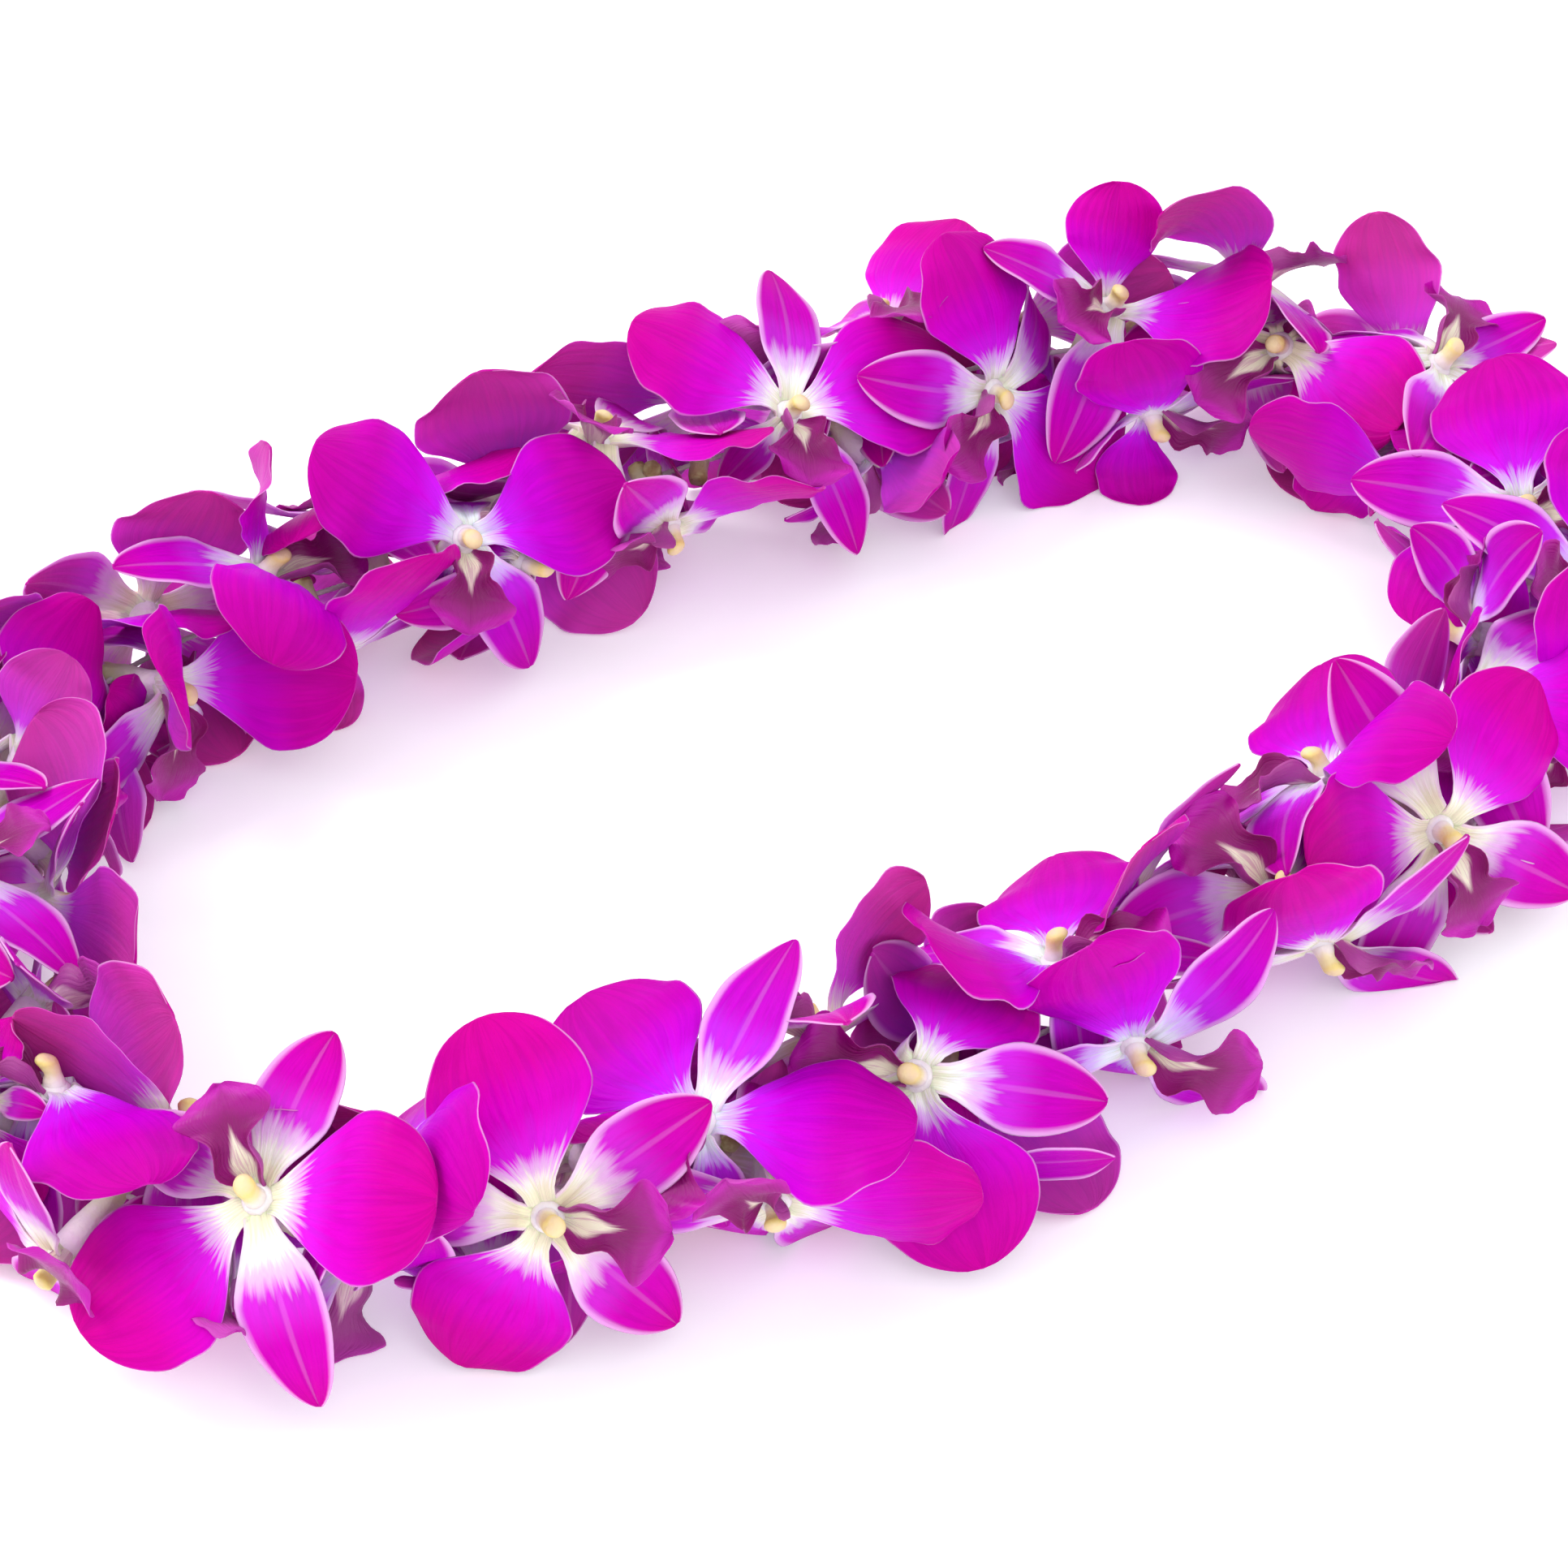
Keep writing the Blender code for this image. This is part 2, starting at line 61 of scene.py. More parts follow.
# Plan of the string, clockwise from the left end, and how high it lies.
ROUTE = (
    (-0.173, 0.019),
    (-0.147, 0.062),
    (-0.111, 0.091),
    (-0.069, 0.101),
    (-0.012, 0.088),
    (0.060, 0.076),
    (0.125, 0.066),
    (0.168, 0.031),
    (0.177, -0.024),
    (0.152, -0.073),
    (0.106, -0.099),
    (0.047, -0.104),
    (-0.020, -0.103),
    (-0.085, -0.090),
    (-0.140, -0.067),
    (-0.174, -0.028),
)
ROUTE_STEPS = 40
STRING_HEIGHT = 0.0260
STRING_WAVE = 0.0015
STRING_WAVES = 5
STRING_RADIUS = 0.0006
BORE_RADIUS = 0.0010
STRING_SEGMENTS = 2 * BLOOMS
STRING_SIDES = 6

# The knot between the last bloom and the first, and its two cut tails.
KNOT_RADIUS = 0.0017
TAIL_LENGTH = 0.008
TAIL_START = 0.1
TAIL_POINTS = 4
TAIL_SPREAD = math.radians(12)
TAIL_DROP = 0.003

# How the blooms stand round the string: 0 degrees is away from the middle of the ring, 90 is up.
# Each turns on from the last by the golden part of the span, so that no side is left bare.
FACING_LOW = math.radians(-52)
FACING_SPAN = math.radians(284)
GOLDEN_PART = 0.381966
FIRST_FACING = 0.75
FACING_JITTER = math.radians(14)
LEAN_RANGE = (math.radians(-4), math.radians(36))
PITCH_JITTER = 0.12
TUBE_RANGE = (0.0120, 0.0160)

# A bloom's hub and tube. Each of the tube's sections has its part of the tube's length, its radius
# and how far it is set off towards the lip.
HUB_RADIUS = 0.0042
HUB_THICKNESS = 0.0016
COLUMN_HEIGHT = 0.0050
CHIN = (0.64, 0.0036, 0.0013)
NECK = (0.16, 0.0026, 0.0)
STUB = (-0.24, 0.0023, 0.0)
STUB_END = -0.31

# A sepal, petal or lip: its place round the hub, length, half width, where it is fullest, its
# claw's part of the width, how pointed its tip is, and its natural rise, curl and cup.
Kind = namedtuple("Kind", "name place length half_width fullest claw point rise curl cup")
LIP = Kind("lip", 180, 0.0200, 0.0078, 0.60, 0.42, 0.50, 46, -60, 0.75)
PETAL = Kind("petal", 68, 0.0350, 0.0150, 0.55, 0.19, 0.50, 2, -26, -0.32)
BACK_SEPAL = Kind("sepal", 0, 0.0340, 0.0078, 0.46, 0.36, 0.70, -9, -22, 0.22)
SIDE_SEPAL = Kind("sepal", 140, 0.0330, 0.0080, 0.46, 0.36, 0.70, -12, -24, 0.22)
KINDS = (
    LIP,
    PETAL,
    PETAL._replace(place=-PETAL.place),
    BACK_SEPAL,
    SIDE_SEPAL,
    SIDE_SEPAL._replace(place=-SIDE_SEPAL.place),
)
SIZE_JITTER = 0.07
CUP_JITTER = 0.2
RISE_SPREAD = 6
CURL_SPREAD = 11
SWAY_SPREAD = 3.5
TWIST_SPREAD = 8
ORGAN_THICKNESS = 0.0009
SPINE_STEPS = 12
STATIONS = {"petal": (0.26, 0.58, 0.87), "sepal": (0.22, 0.50, 0.82), "lip": (0.42, 0.82)}

# How far an organ may give way to its neighbours: it tries more and more bent postures, each within
# what its kind can do, and where none has room it grew smaller.
POSTURES = 320
RISE_GIVE = math.radians(95)
CURL_GIVE = math.radians(100)
SWAY_GIVE = math.radians(35)
TWIST_GIVE = math.radians(70)
RISE_LIMITS = {"lip": (34, 80), "petal": (-80, 72), "sepal": (-85, 24)}
STUNTING = (1.0, 0.88, 0.74, 0.58, 0.42, 0.3)
STRAND_RADIUS = 0.037
PRESSED = 0.0035

# The room between a bloom's hub and tube and those of the others, and between organs.
FRAME_TRIES = 200
LOWEST_CORE = 0.003
HUBS_APART = 0.016
HUB_CLEARANCE = 0.0015
TUBES_APART = 0.0010
CLEARANCE = 0.0004
OFF_HUB = 0.0003
OWN_CLEARANCE = 0.00003

# Every bloom's lip is laid out first, then its petals, then its sepals. Blooms further apart than
# the reach can't meet.
GROUPS = ((0,), (1, 2), (3, 4, 5))
REACH = 0.085
DIRECTION_STEP = 0.05

Organ = namedtuple("Organ", "kind base root out side axis length half_width rise curl sway twist cup")
Bloom = namedtuple("Bloom", "root axis centre across over length organs")


# ---------------------------------------------------------------- the string's route


def smooth_route():
    """Closed Catmull-Rom curve through the route's points, finely sampled."""
    knots = np.array(ROUTE)
    steps = np.linspace(0, 1, ROUTE_STEPS, endpoint=False)[:, None]
    pieces = []
    for i in range(len(knots)):
        before, start, end, after = (knots[(i + k) % len(knots)] for k in (-1, 0, 1, 2))
        pieces.append(
            start
            + 0.5 * steps * (end - before)
            + steps**2 * (before - 2.5 * start + 2 * end - 0.5 * after)
            + steps**3 * (1.5 * (start - end) + 0.5 * (after - before))
        )
    return np.concatenate(pieces)


def closed_run(points):
    """A closed run of points with its first one again at the end, and the distance along it to each."""
    closed = np.vstack((points, points[:1]))
    return closed, np.concatenate(([0.0], np.cumsum(np.linalg.norm(np.diff(closed, axis=0), axis=1))))


def string_points(count, offset=0.0):
    """Points evenly spaced along the string, the first one the given part of a space along it."""
    closed, run = closed_run(smooth_route())
    turns = (np.arange(count) + offset) / count % 1.0
    x, y = (np.interp(turns * run[-1], run, closed[:, k]) for k in (0, 1))
    z = STRING_HEIGHT + STRING_WAVE * np.sin(2 * math.pi * STRING_WAVES * turns)
    return np.stack((x, y, z), axis=1)


def unit(vector):
    return vector / np.linalg.norm(vector)


def string_place(shift):
    """Where the string is after the given number of blooms, and its direction there."""
    place, before, after = (
        string_points(BLOOMS, shift + step)[0] for step in (0.0, -DIRECTION_STEP, DIRECTION_STEP)
    )
    return place, unit(after - before)


# The string's own points: each bloom hangs near the middle of a straight stretch.
STRING_LINE = string_points(STRING_SEGMENTS, 0.5)


# ---------------------------------------------------------------- one organ's surface


def half_width_at(organ, u):
    """Half width along an organ: a narrow claw, the fullest place, then a rounded or pointed tip."""
    kind = organ.kind
    rising = np.clip(u / kind.fullest, 0, 1)
    claw = kind.claw + (1 - kind.claw) * rising**2 * (3 - 2 * rising)
    falling = np.clip((u - kind.fullest) / (1 - kind.fullest), 0, 1)
    return organ.half_width * claw * (1 - falling**2) ** kind.point


def spine_points(organ, steps):
    """The given number of steps along an organ's middle line, which rises, curls and sways."""
    u = np.linspace(0, 1, steps + 1)
    rise = organ.rise + organ.curl * u
    sway = organ.sway * u
    outward = np.cos(sway)[:, None] * organ.out + np.sin(sway)[:, None] * organ.side
    along = np.cos(rise)[:, None] * outward + np.sin(rise)[:, None] * organ.axis
    middle = 0.5 * (along[1:] + along[:-1]) * (organ.length / steps)
    return organ.base + np.vstack((np.zeros(3), np.cumsum(middle, axis=0)))


def spine(organ, u):
    """Middle line of an organ at the given stations, with its side and front there."""
    points = spine_points(organ, SPINE_STEPS)
    low = np.minimum((u * SPINE_STEPS).astype(int), SPINE_STEPS - 1)
    part = (u * SPINE_STEPS - low)[:, None]
    place = points[low] * (1 - part) + points[low + 1] * part
    rise = (organ.rise + organ.curl * u)[:, None]
    sway = (organ.sway * u)[:, None]
    twist = (organ.twist * u)[:, None]
    outward = np.cos(sway) * organ.out + np.sin(sway) * organ.side
    flat_side = np.cos(sway) * organ.side - np.sin(sway) * organ.out
    flat_front = np.cos(rise) * organ.axis - np.sin(rise) * outward
    side = np.cos(twist) * flat_side + np.sin(twist) * flat_front
    front = np.cos(twist) * flat_front - np.sin(twist) * flat_side
    return place, side, front


def pressed(points, floor):
    """Points that the surface below has pushed up to at least the given height."""
    points[:, 2] = np.maximum(points[:, 2], floor)
    return points


def organ_rings(organ, spare=0.0):
    """Four-cornered sections of an organ: left edge, front ridge, right edge and back ridge."""
    u = np.array(STATIONS[organ.kind.name])
    place, side, front = spine(organ, u)
    width = (half_width_at(organ, u) + spare)[:, None]
    thick = 0.5 * ORGAN_THICKNESS + spare
    edge_out = side * width * (math.sin(organ.cup) / organ.cup)
    edge_up = front * width * ((1 - math.cos(organ.cup)) / organ.cup)
    face = np.where(front[:, 2:] >= 0, 1.0, -1.0)
    top = pressed(place + face * front * thick, 2 * thick - spare)
    bottom = pressed(place - face * front * thick, -spare)
    ridge_front = np.where(face > 0, top, bottom)
    ridge_back = np.where(face > 0, bottom, top)
    left = pressed(place - edge_out + edge_up, -spare)
    right = pressed(place + edge_out + edge_up, -spare)
    return np.stack((left, ridge_front, right, ridge_back), axis=1)


def organ_tip(organ, spare=0.0):
    place = spine(organ, np.array((1.0 + spare / organ.length,)))[0]
    return pressed(place, -spare)


def lowest(organ):
    """Height of an organ's lowest point before the surface pushes it up."""
    u = np.array(STATIONS[organ.kind.name] + (1.0,))
    place, side, _ = spine(organ, u)
    drop = np.abs(side[:, 2]) * half_width_at(organ, u)
    return (place[:, 2] - drop).min()


def band(low, high):
    """The faces between two sections, listed so that front and back are cut along the same line."""
    return [
        (low[0], low[1], high[1], high[0]),
        (low[1], low[2], high[2], high[1]),
        (low[3], high[3], high[2], low[2]),
        (low[0], high[0], high[3], low[3]),
    ]


def organ_faces(organ, root, start):
    """Faces from the section with the given root points, through the organ's own, to its tip."""
    faces = []
    below = root
    for k in range(len(STATIONS[organ.kind.name])):
        above = range(start + 4 * k, start + 4 * k + 4)
        faces += band(below, above)
        below = above
    tip = start + 4 * len(STATIONS[organ.kind.name])
    return faces + [(below[k], below[(k + 1) % 4], tip) for k in range(4)]


def organ_shell(organ, spare=0.0):
    """An organ on its own, with room to spare all round, from just off the hub to its tip."""
    rings = organ_rings(organ, spare)
    part = OFF_HUB / (organ.length * STATIONS[organ.kind.name][0])
    first = organ.root * (1 - part) + rings[0] * part
    points = np.vstack((first, rings.reshape(-1, 3), organ_tip(organ, spare)))
    return points, organ_faces(organ, range(4), 4)


def triangles(faces):
    """The same faces cut into triangles."""
    return [(f[0], f[k], f[k + 1]) for f in faces for k in range(1, len(f) - 1)]


# ---------------------------------------------------------------- one bloom's hub and tube


def place_angle(kind):
    return math.radians(kind.place)


def sector_corners():
    """Angles round the hub where one organ's base ends and the next begins, going round."""
    around = sorted((place_angle(kind) % (2 * math.pi), i) for i, kind in enumerate(KINDS))
    corners = {}
    for k, (angle, i) in enumerate(around):
        before = around[k - 1][0] - (2 * math.pi if k == 0 else 0)
        after = around[(k + 1) % len(around)][0] + (2 * math.pi if k == len(around) - 1 else 0)
        corners[i] = (0.5 * (before + angle), 0.5 * (angle + after))
    return [i for _, i in around], corners


ORDER, CORNERS = sector_corners()


def hub_direction(bloom, angle):
    return math.cos(angle) * bloom.across + math.sin(angle) * bloom.over


def base_radius(index):
    """Distance from the hub's middle to the middle of an organ's base."""
    low, high = CORNERS[index]
    return HUB_RADIUS * math.cos(0.5 * (high - low))


def core_mesh(bloom, spare=0.0):
    """Hub and tube: outer ring of corners and base ridges, then the tube's rings down to its stub."""
    rim = HUB_RADIUS + spare
    points = []
    for i in ORDER:
        low = CORNERS[i][0]
        middle = bloom.centre + hub_direction(bloom, place_angle(KINDS[i])) * base_radius(i)
        points.append(bloom.centre + hub_direction(bloom, low) * rim)
        points.append(middle + bloom.axis * 0.5 * HUB_THICKNESS)
        points.append(middle - bloom.axis * 0.5 * HUB_THICKNESS)
    chin_way = hub_direction(bloom, math.pi)
    for part, radius, shift in (CHIN, NECK, STUB):
        middle = bloom.root + bloom.axis * bloom.length * part + chin_way * shift
        for i in ORDER:
            points.append(middle + hub_direction(bloom, CORNERS[i][0]) * (radius + spare))
    points.append(bloom.root + bloom.axis * bloom.length * STUB_END)
    points.append(bloom.centre + bloom.axis * COLUMN_HEIGHT)
    count = len(ORDER)
    ring, stub_tip, column_tip = 3 * count, 6 * count, 6 * count + 1
    faces = []
    for k in range(count):
        after = (k + 1) % count
        corner, front, back, following = 3 * k, 3 * k + 1, 3 * k + 2, 3 * after
        faces.append((corner, front, column_tip))
        faces.append((front, following, column_tip))
        faces.append((back, corner, ring + k))
        faces.append((back, ring + k, ring + after))
        faces.append((following, back, ring + after))
        for row in (0, count):
            near, far = ring + row, ring + row + count
            faces.append((near + k, far + k, far + after, near + after))
        faces.append((ring + 2 * count + k, stub_tip, ring + 2 * count + after))
    return np.array(points), faces


def bloom_points(bloom):
    """All the points of a bloom's plain solid."""
    organs = bloom.organs.values()
    rings = [organ_rings(organ).reshape(-1, 3) for organ in organs]
    return np.vstack([core_mesh(bloom)[0]] + rings + [organ_tip(organ) for organ in organs])


# ---------------------------------------------------------------- laying the blooms out


def natural_organ(bloom, index, chance):
    """An organ as it grows with nothing in its way."""
    kind = KINDS[index]
    out = hub_direction(bloom, place_angle(kind))
    size = 1 + chance.uniform(-SIZE_JITTER, SIZE_JITTER)
    base = bloom.centre + out * base_radius(index)
    low, high = (bloom.centre + hub_direction(bloom, a) * HUB_RADIUS for a in CORNERS[index])
    half = bloom.axis * 0.5 * HUB_THICKNESS
    return Organ(
        kind=kind,
        base=base,
        root=np.array((low, base + half, high, base - half)),
        out=out,
        side=np.cross(bloom.axis, out),
        axis=bloom.axis,
        length=kind.length * size,
        half_width=kind.half_width * size,
        rise=math.radians(kind.rise + chance.gauss(0, RISE_SPREAD)),
        curl=math.radians(kind.curl + chance.gauss(0, CURL_SPREAD)),
        sway=math.radians(chance.gauss(0, SWAY_SPREAD)),
        twist=math.radians(chance.gauss(0, TWIST_SPREAD)),
        cup=kind.cup * chance.uniform(1 - CUP_JITTER, 1 + CUP_JITTER),
    )


def bent(organ, effort, chance):
    """The organ bent aside at random, further with more effort."""
    return organ._replace(
        rise=organ.rise + effort * chance.uniform(-RISE_GIVE, RISE_GIVE),
        curl=organ.curl + effort * chance.uniform(-CURL_GIVE, CURL_GIVE),
        sway=organ.sway + effort * chance.uniform(-SWAY_GIVE, SWAY_GIVE),
        twist=organ.twist + effort * chance.uniform(-TWIST_GIVE, TWIST_GIVE),
    )


def stacked(meshes):
    """The points and faces of several meshes as one list of each."""
    points, faces = [], []
    for mesh_points, mesh_faces in meshes:
        start = len(points)
        points.extend(map(tuple, mesh_points))
        faces.extend(tuple(start + v for v in face) for face in mesh_faces)
    return points, faces


def tree_of(meshes):
    points, faces = stacked(meshes)
    return BVHTree.FromPolygons(points, triangles(faces)) if faces else None


def touches(mesh, tree):
    return tree is not None and bool(tree_of([mesh]).overlap(tree))


def bends_so_far(organ):
    """Whether an organ of its kind can stand that far forward or back."""
    low, high = RISE_LIMITS[organ.kind.name]
    return math.radians(low) < organ.rise < math.radians(high)


def strays(organ):
    """Whether an organ's tip stands further from the string than the strand is thick."""
    tip = spine(organ, np.array((1.0,)))[0]
    return np.linalg.norm(STRING_LINE - tip, axis=1).min() > STRAND_RADIUS


def postures(organ, sizes, count, chance):
    """The organ in ever smaller sizes, each more and more bent, as far as its kind can lie so."""
    for size in sizes:
        small = organ._replace(length=organ.length * size, half_width=organ.half_width * size)
        for k in range(count):
            tried = bent(small, k / count, chance)
            if bends_so_far(tried) and lowest(tried) >= -PRESSED and not strays(tried):
                yield tried


def settle(organ, others, own, chance):
    """The organ in the least bent posture that clears the others; where none does, it grew smaller."""
    for tried in postures(organ, STUNTING, POSTURES, chance):
        if touches(organ_shell(tried, CLEARANCE), others):
            continue
        if not touches(organ_shell(tried, OWN_CLEARANCE), own):
            return tried
    raise RuntimeError(f"a {organ.kind.name} has no room: try another LAYOUT_SEED")


def placed_bloom(root, along, facing, lean, roll, length):
    """A bloom's frame: where it hangs on the string and which way it faces."""
    up = unit(np.array((0.0, 0.0, 1.0)) - along * along[2])
    away = np.cross(up, along)
    radial = math.cos(facing) * away + math.sin(facing) * up
    axis = math.cos(lean) * radial + math.sin(lean) * along
    flat = unit(along - axis * along.dot(axis))
    other = np.cross(axis, flat)
    across = math.cos(roll) * flat + math.sin(roll) * other
    return Bloom(root, axis, root + axis * length, across, np.cross(axis, across), length, [])


def place_frames(chance):
    """Where every bloom hangs and which way it faces, with hubs and tubes clear of each other."""
    frames = []
    knot = knot_meshes(2 * CLEARANCE)
    for i in range(BLOOMS):
        shift = i + chance.uniform(-PITCH_JITTER, PITCH_JITTER)
        root, along = string_place(shift)
        near = tree_of([core_mesh(other) for other in frames if close(other.root, root)] + knot)
        for _ in range(FRAME_TRIES):
            facing = FACING_LOW + FACING_SPAN * ((i * GOLDEN_PART + FIRST_FACING) % 1.0)
            bloom = placed_bloom(
                root,
                along,
                facing + chance.uniform(-FACING_JITTER, FACING_JITTER),
                chance.uniform(*LEAN_RANGE),
                chance.uniform(0, 2 * math.pi),
                chance.uniform(*TUBE_RANGE),
            )
            core = core_mesh(bloom, TUBES_APART)
            apart = min((np.linalg.norm(bloom.centre - other.centre) for other in frames), default=1.0)
            low = core[0][:, 2].min() < LOWEST_CORE
            if apart > HUBS_APART and not low and not touches(core, near):
                break
        else:
            raise RuntimeError(f"bloom {i + 1} has no room for its tube")
        frames.append(bloom)
    return frames


def close(place, other):
    return np.linalg.norm(place - other) < REACH


def lay_out():
    """All the blooms along the string, each clear of the others, of the string and of the surface."""
    chance = random.Random(LAYOUT_SEED)
    frames = place_frames(chance)
    guard = tube_mesh(STRING_LINE, BORE_RADIUS + CLEARANCE, STRING_SIDES)
    guards = [guard] + knot_meshes(2 * CLEARANCE)
    cores = [core_mesh(bloom) for bloom in frames]
    kept_clear = [core_mesh(bloom, HUB_CLEARANCE) for bloom in frames]
    organs = [{} for _ in frames]
    for group in GROUPS:
        for i, bloom in enumerate(frames):
            near = [k for k, other in enumerate(frames) if k != i and close(other.root, bloom.root)]
            taken = [organ_shell(organ) for k in near for organ in organs[k].values()]
            others = tree_of(taken + [kept_clear[k] for k in near] + guards)
            for index in group:
                mine = [organ_shell(organ) for organ in organs[i].values()]
                own = tree_of(mine + [cores[i]])
                organs[i][index] = settle(natural_organ(bloom, index, chance), others, own, chance)
    return [bloom._replace(organs=kept) for bloom, kept in zip(frames, organs)]


def swept(points, radii, angles, closed=True):
    """Sections of the given radii and angles, square to a run of points."""
    ahead, behind = np.roll(points, -1, axis=0), np.roll(points, 1, axis=0)
    if not closed:
        ahead[-1], behind[0] = points[-1], points[0]
    ways = ahead - behind
    ways /= np.linalg.norm(ways, axis=1, keepdims=True)
    up = np.array((0.0, 0.0, 1.0)) - ways * ways[:, 2:]
    up /= np.linalg.norm(up, axis=1, keepdims=True)
    away = np.cross(up, ways)
    rings = points[:, None] + (radii * np.cos(angles))[..., None] * away[:, None]
    return rings + (radii * np.sin(angles))[..., None] * up[:, None]


def ring_faces(count, size, closed=False):
    """The four-cornered faces between equal sections, and between the last and first if closed."""
    low = np.arange(count if closed else count - 1)[:, None] * size + np.arange(size)
    after = low - np.arange(size) + (np.arange(size) + 1) % size
    total = count * size
    quads = (low, after, (after + size) % total, (low + size) % total)
    return np.stack(quads, axis=2).reshape(-1, 4).tolist()


def swept_mesh(rings, closed=True):
    """Points and faces of a skin over sections, with flat ends if it is open."""
    count, size = rings.shape[:2]
    faces = ring_faces(count, size, closed)
    if not closed:
        faces += [list(range(size))[::-1], list(range((count - 1) * size, count * size))]
    return rings.reshape(-1, 3), faces


def tube_mesh(points, radius, sides, closed=True):
    """A round tube along a run of points."""
    angles = 2 * math.pi * (np.arange(sides) + 0.5) / sides
    return swept_mesh(swept(points, radius, angles, closed), closed)


def tail_line(turn, reach):
    """A tail's own line, from the knot to one side of the string, at the given parts of its length."""
    middle, along = string_place(-0.5)
    away = unit(np.cross((0.0, 0.0, 1.0), along))
    way = math.cos(TAIL_SPREAD) * away + turn * math.sin(TAIL_SPREAD) * along
    return middle + np.outer(reach * TAIL_LENGTH, way) + np.outer(reach**2, (0.0, 0.0, -TAIL_DROP))


def knot_meshes(spare):
    """The knot that closes the ring, as a ball between two blooms, and its two short tails."""
    middle, _ = string_place(-0.5)
    ball = bmesh.new()
    bmesh.ops.create_icosphere(ball, subdivisions=2, radius=KNOT_RADIUS + spare)
    points = np.array([middle + np.array(vertex.co) for vertex in ball.verts])
    meshes = [(points, [tuple(v.index for v in face.verts) for face in ball.faces])]
    ball.free()
    reach = np.linspace(TAIL_START, 1.0, TAIL_POINTS)
    for turn in (-1, 1):
        tail = tail_line(turn, reach)
        meshes.append(tube_mesh(tail, STRING_RADIUS + spare, STRING_SIDES, closed=False))
    return meshes


# ---------------------------------------------------------------- the blooms past the CAD's limit

# The extra blooms, how many ways of facing each tries, how near two hubs may be, how far in front
# of the hub the face needs its room, and how much room each face that its tube would cross is worth.
# Its petals try ever smaller sizes, with a number of postures for each.
EXTRA_BLOOMS = 20
EXTRA_FACINGS = 80
EXTRA_LOW = math.radians(-72)
EXTRA_SPAN = math.radians(324)
EXTRA_APART = 0.012
FACE_AHEAD = 0.010
TOUCH_COST = 0.02
EXTRA_POSTURES = 60
EXTRA_STUNTING = (1.0, 0.76, 0.56, 0.4)


def roomiest_frame(root, along, frames, crowd, chance):
    """The frame, of some tried at random, whose tube and face have the most room."""
    best, most = None, -math.inf
    shells = [organ_shell(organ) for other in frames for organ in other.organs.values()]
    others = tree_of([shell for shell in shells if close(shell[0][0], root)])
    for _ in range(EXTRA_FACINGS):
        facing = EXTRA_LOW + EXTRA_SPAN * chance.random()
        lean, roll = chance.uniform(*LEAN_RANGE), chance.uniform(0, 2 * math.pi)
        tried = placed_bloom(root, along, facing, lean, roll, chance.uniform(*TUBE_RANGE))
        apart = min(np.linalg.norm(tried.centre - other.centre) for other in frames)
        if apart < EXTRA_APART or core_mesh(tried)[0][:, 2].min() < LOWEST_CORE:
            continue
        room = np.linalg.norm(crowd - (tried.centre + tried.axis * FACE_AHEAD), axis=1).min()
        room -= TOUCH_COST * len(tree_of([core_mesh(tried, TUBES_APART)]).overlap(others))
        if room > most:
            best, most = tried, room
    return best


def freest(organ, others, chance):
    """The organ in the size and posture, of some tried, that touches the others least."""
    best, fewest = organ, math.inf
    for tried in postures(organ, EXTRA_STUNTING, EXTRA_POSTURES, chance):
        count = len(tree_of([organ_shell(tried)]).overlap(others))
        if count < fewest:
            best, fewest = tried, count
        if not count:
            break
    return best


def fill_in(blooms):
    """More blooms hung between the others, where their faces have the most room."""
    chance = random.Random(LAYOUT_SEED)
    grown = list(blooms)
    crowd = np.vstack([bloom_points(bloom) for bloom in blooms])
    for i in range(EXTRA_BLOOMS):
        root, along = string_place((i + 0.5) * BLOOMS / EXTRA_BLOOMS)
        hung = roomiest_frame(root, along, grown, crowd, chance)
        if hung is None:
            continue
        near = [other for other in grown if close(other.root, root)]
        organs = {}
        for group in GROUPS:
            for index in group:
                shells = [organ_shell(organ) for other in near for organ in other.organs.values()]
                shells += [organ_shell(organ) for organ in organs.values()]
                others = tree_of(shells + [core_mesh(other) for other in near])
                organs[index] = freest(natural_organ(hung, index, chance), others, chance)
        grown.append(hung._replace(organs=organs))
        crowd = np.vstack((crowd, bloom_points(grown[-1])))
    return grown[len(blooms) :]


# ---------------------------------------------------------------- fine shells

# What a kind of organ looks like up close: rows and columns of points, thickness, the height and
# number of waves along its margin, the depth of its middle groove, and how much wider than the
# plain solid's its rounded outline is.
Detail = namedtuple("Detail", "rows columns thickness wave waves groove widen")
DETAILS = {
    "petal": Detail(28, 17, 0.00055, 0.00075, 2.3, 0.00035, 1.07),
    "sepal": Detail(24, 13, 0.00065, 0.00035, 1.6, 0.00040, 1.10),
    "lip": Detail(30, 21, 0.00055, 0.00090, 3.2, 0.00000, 1.0),
}
FINE_STEPS = 60
FLOOR_GAP = 0.0002
PRESS_EASE = 0.0006
MATERIALS = ("petal", "sepal", "lip", "column", "tube")

# An organ's rows lie closer towards its tip. Its claw is cupped and thick, the waves grow towards
# its tip and its margin, and finer waves ride on them: their height, number and shift as parts of
# the main ones'. A lip has three keels. An organ is rooted in the tube, so far back and down.
ROW_CROWDING = 1.45
CLAW_CUP = 0.9
CLAW_THICKENING = 1.1
MARGIN_FALL = 2.2
FINER_WAVES = (0.5, 1.9, 1.7)
GROOVE_WIDTH = 0.13
KEELS = (-0.13, 0.0, 0.13)
KEEL_WIDTH = 0.045
KEEL_HEIGHT = 0.0004
ROOTS = ((0.0024, 0.0034), (0.0010, 0.0013))

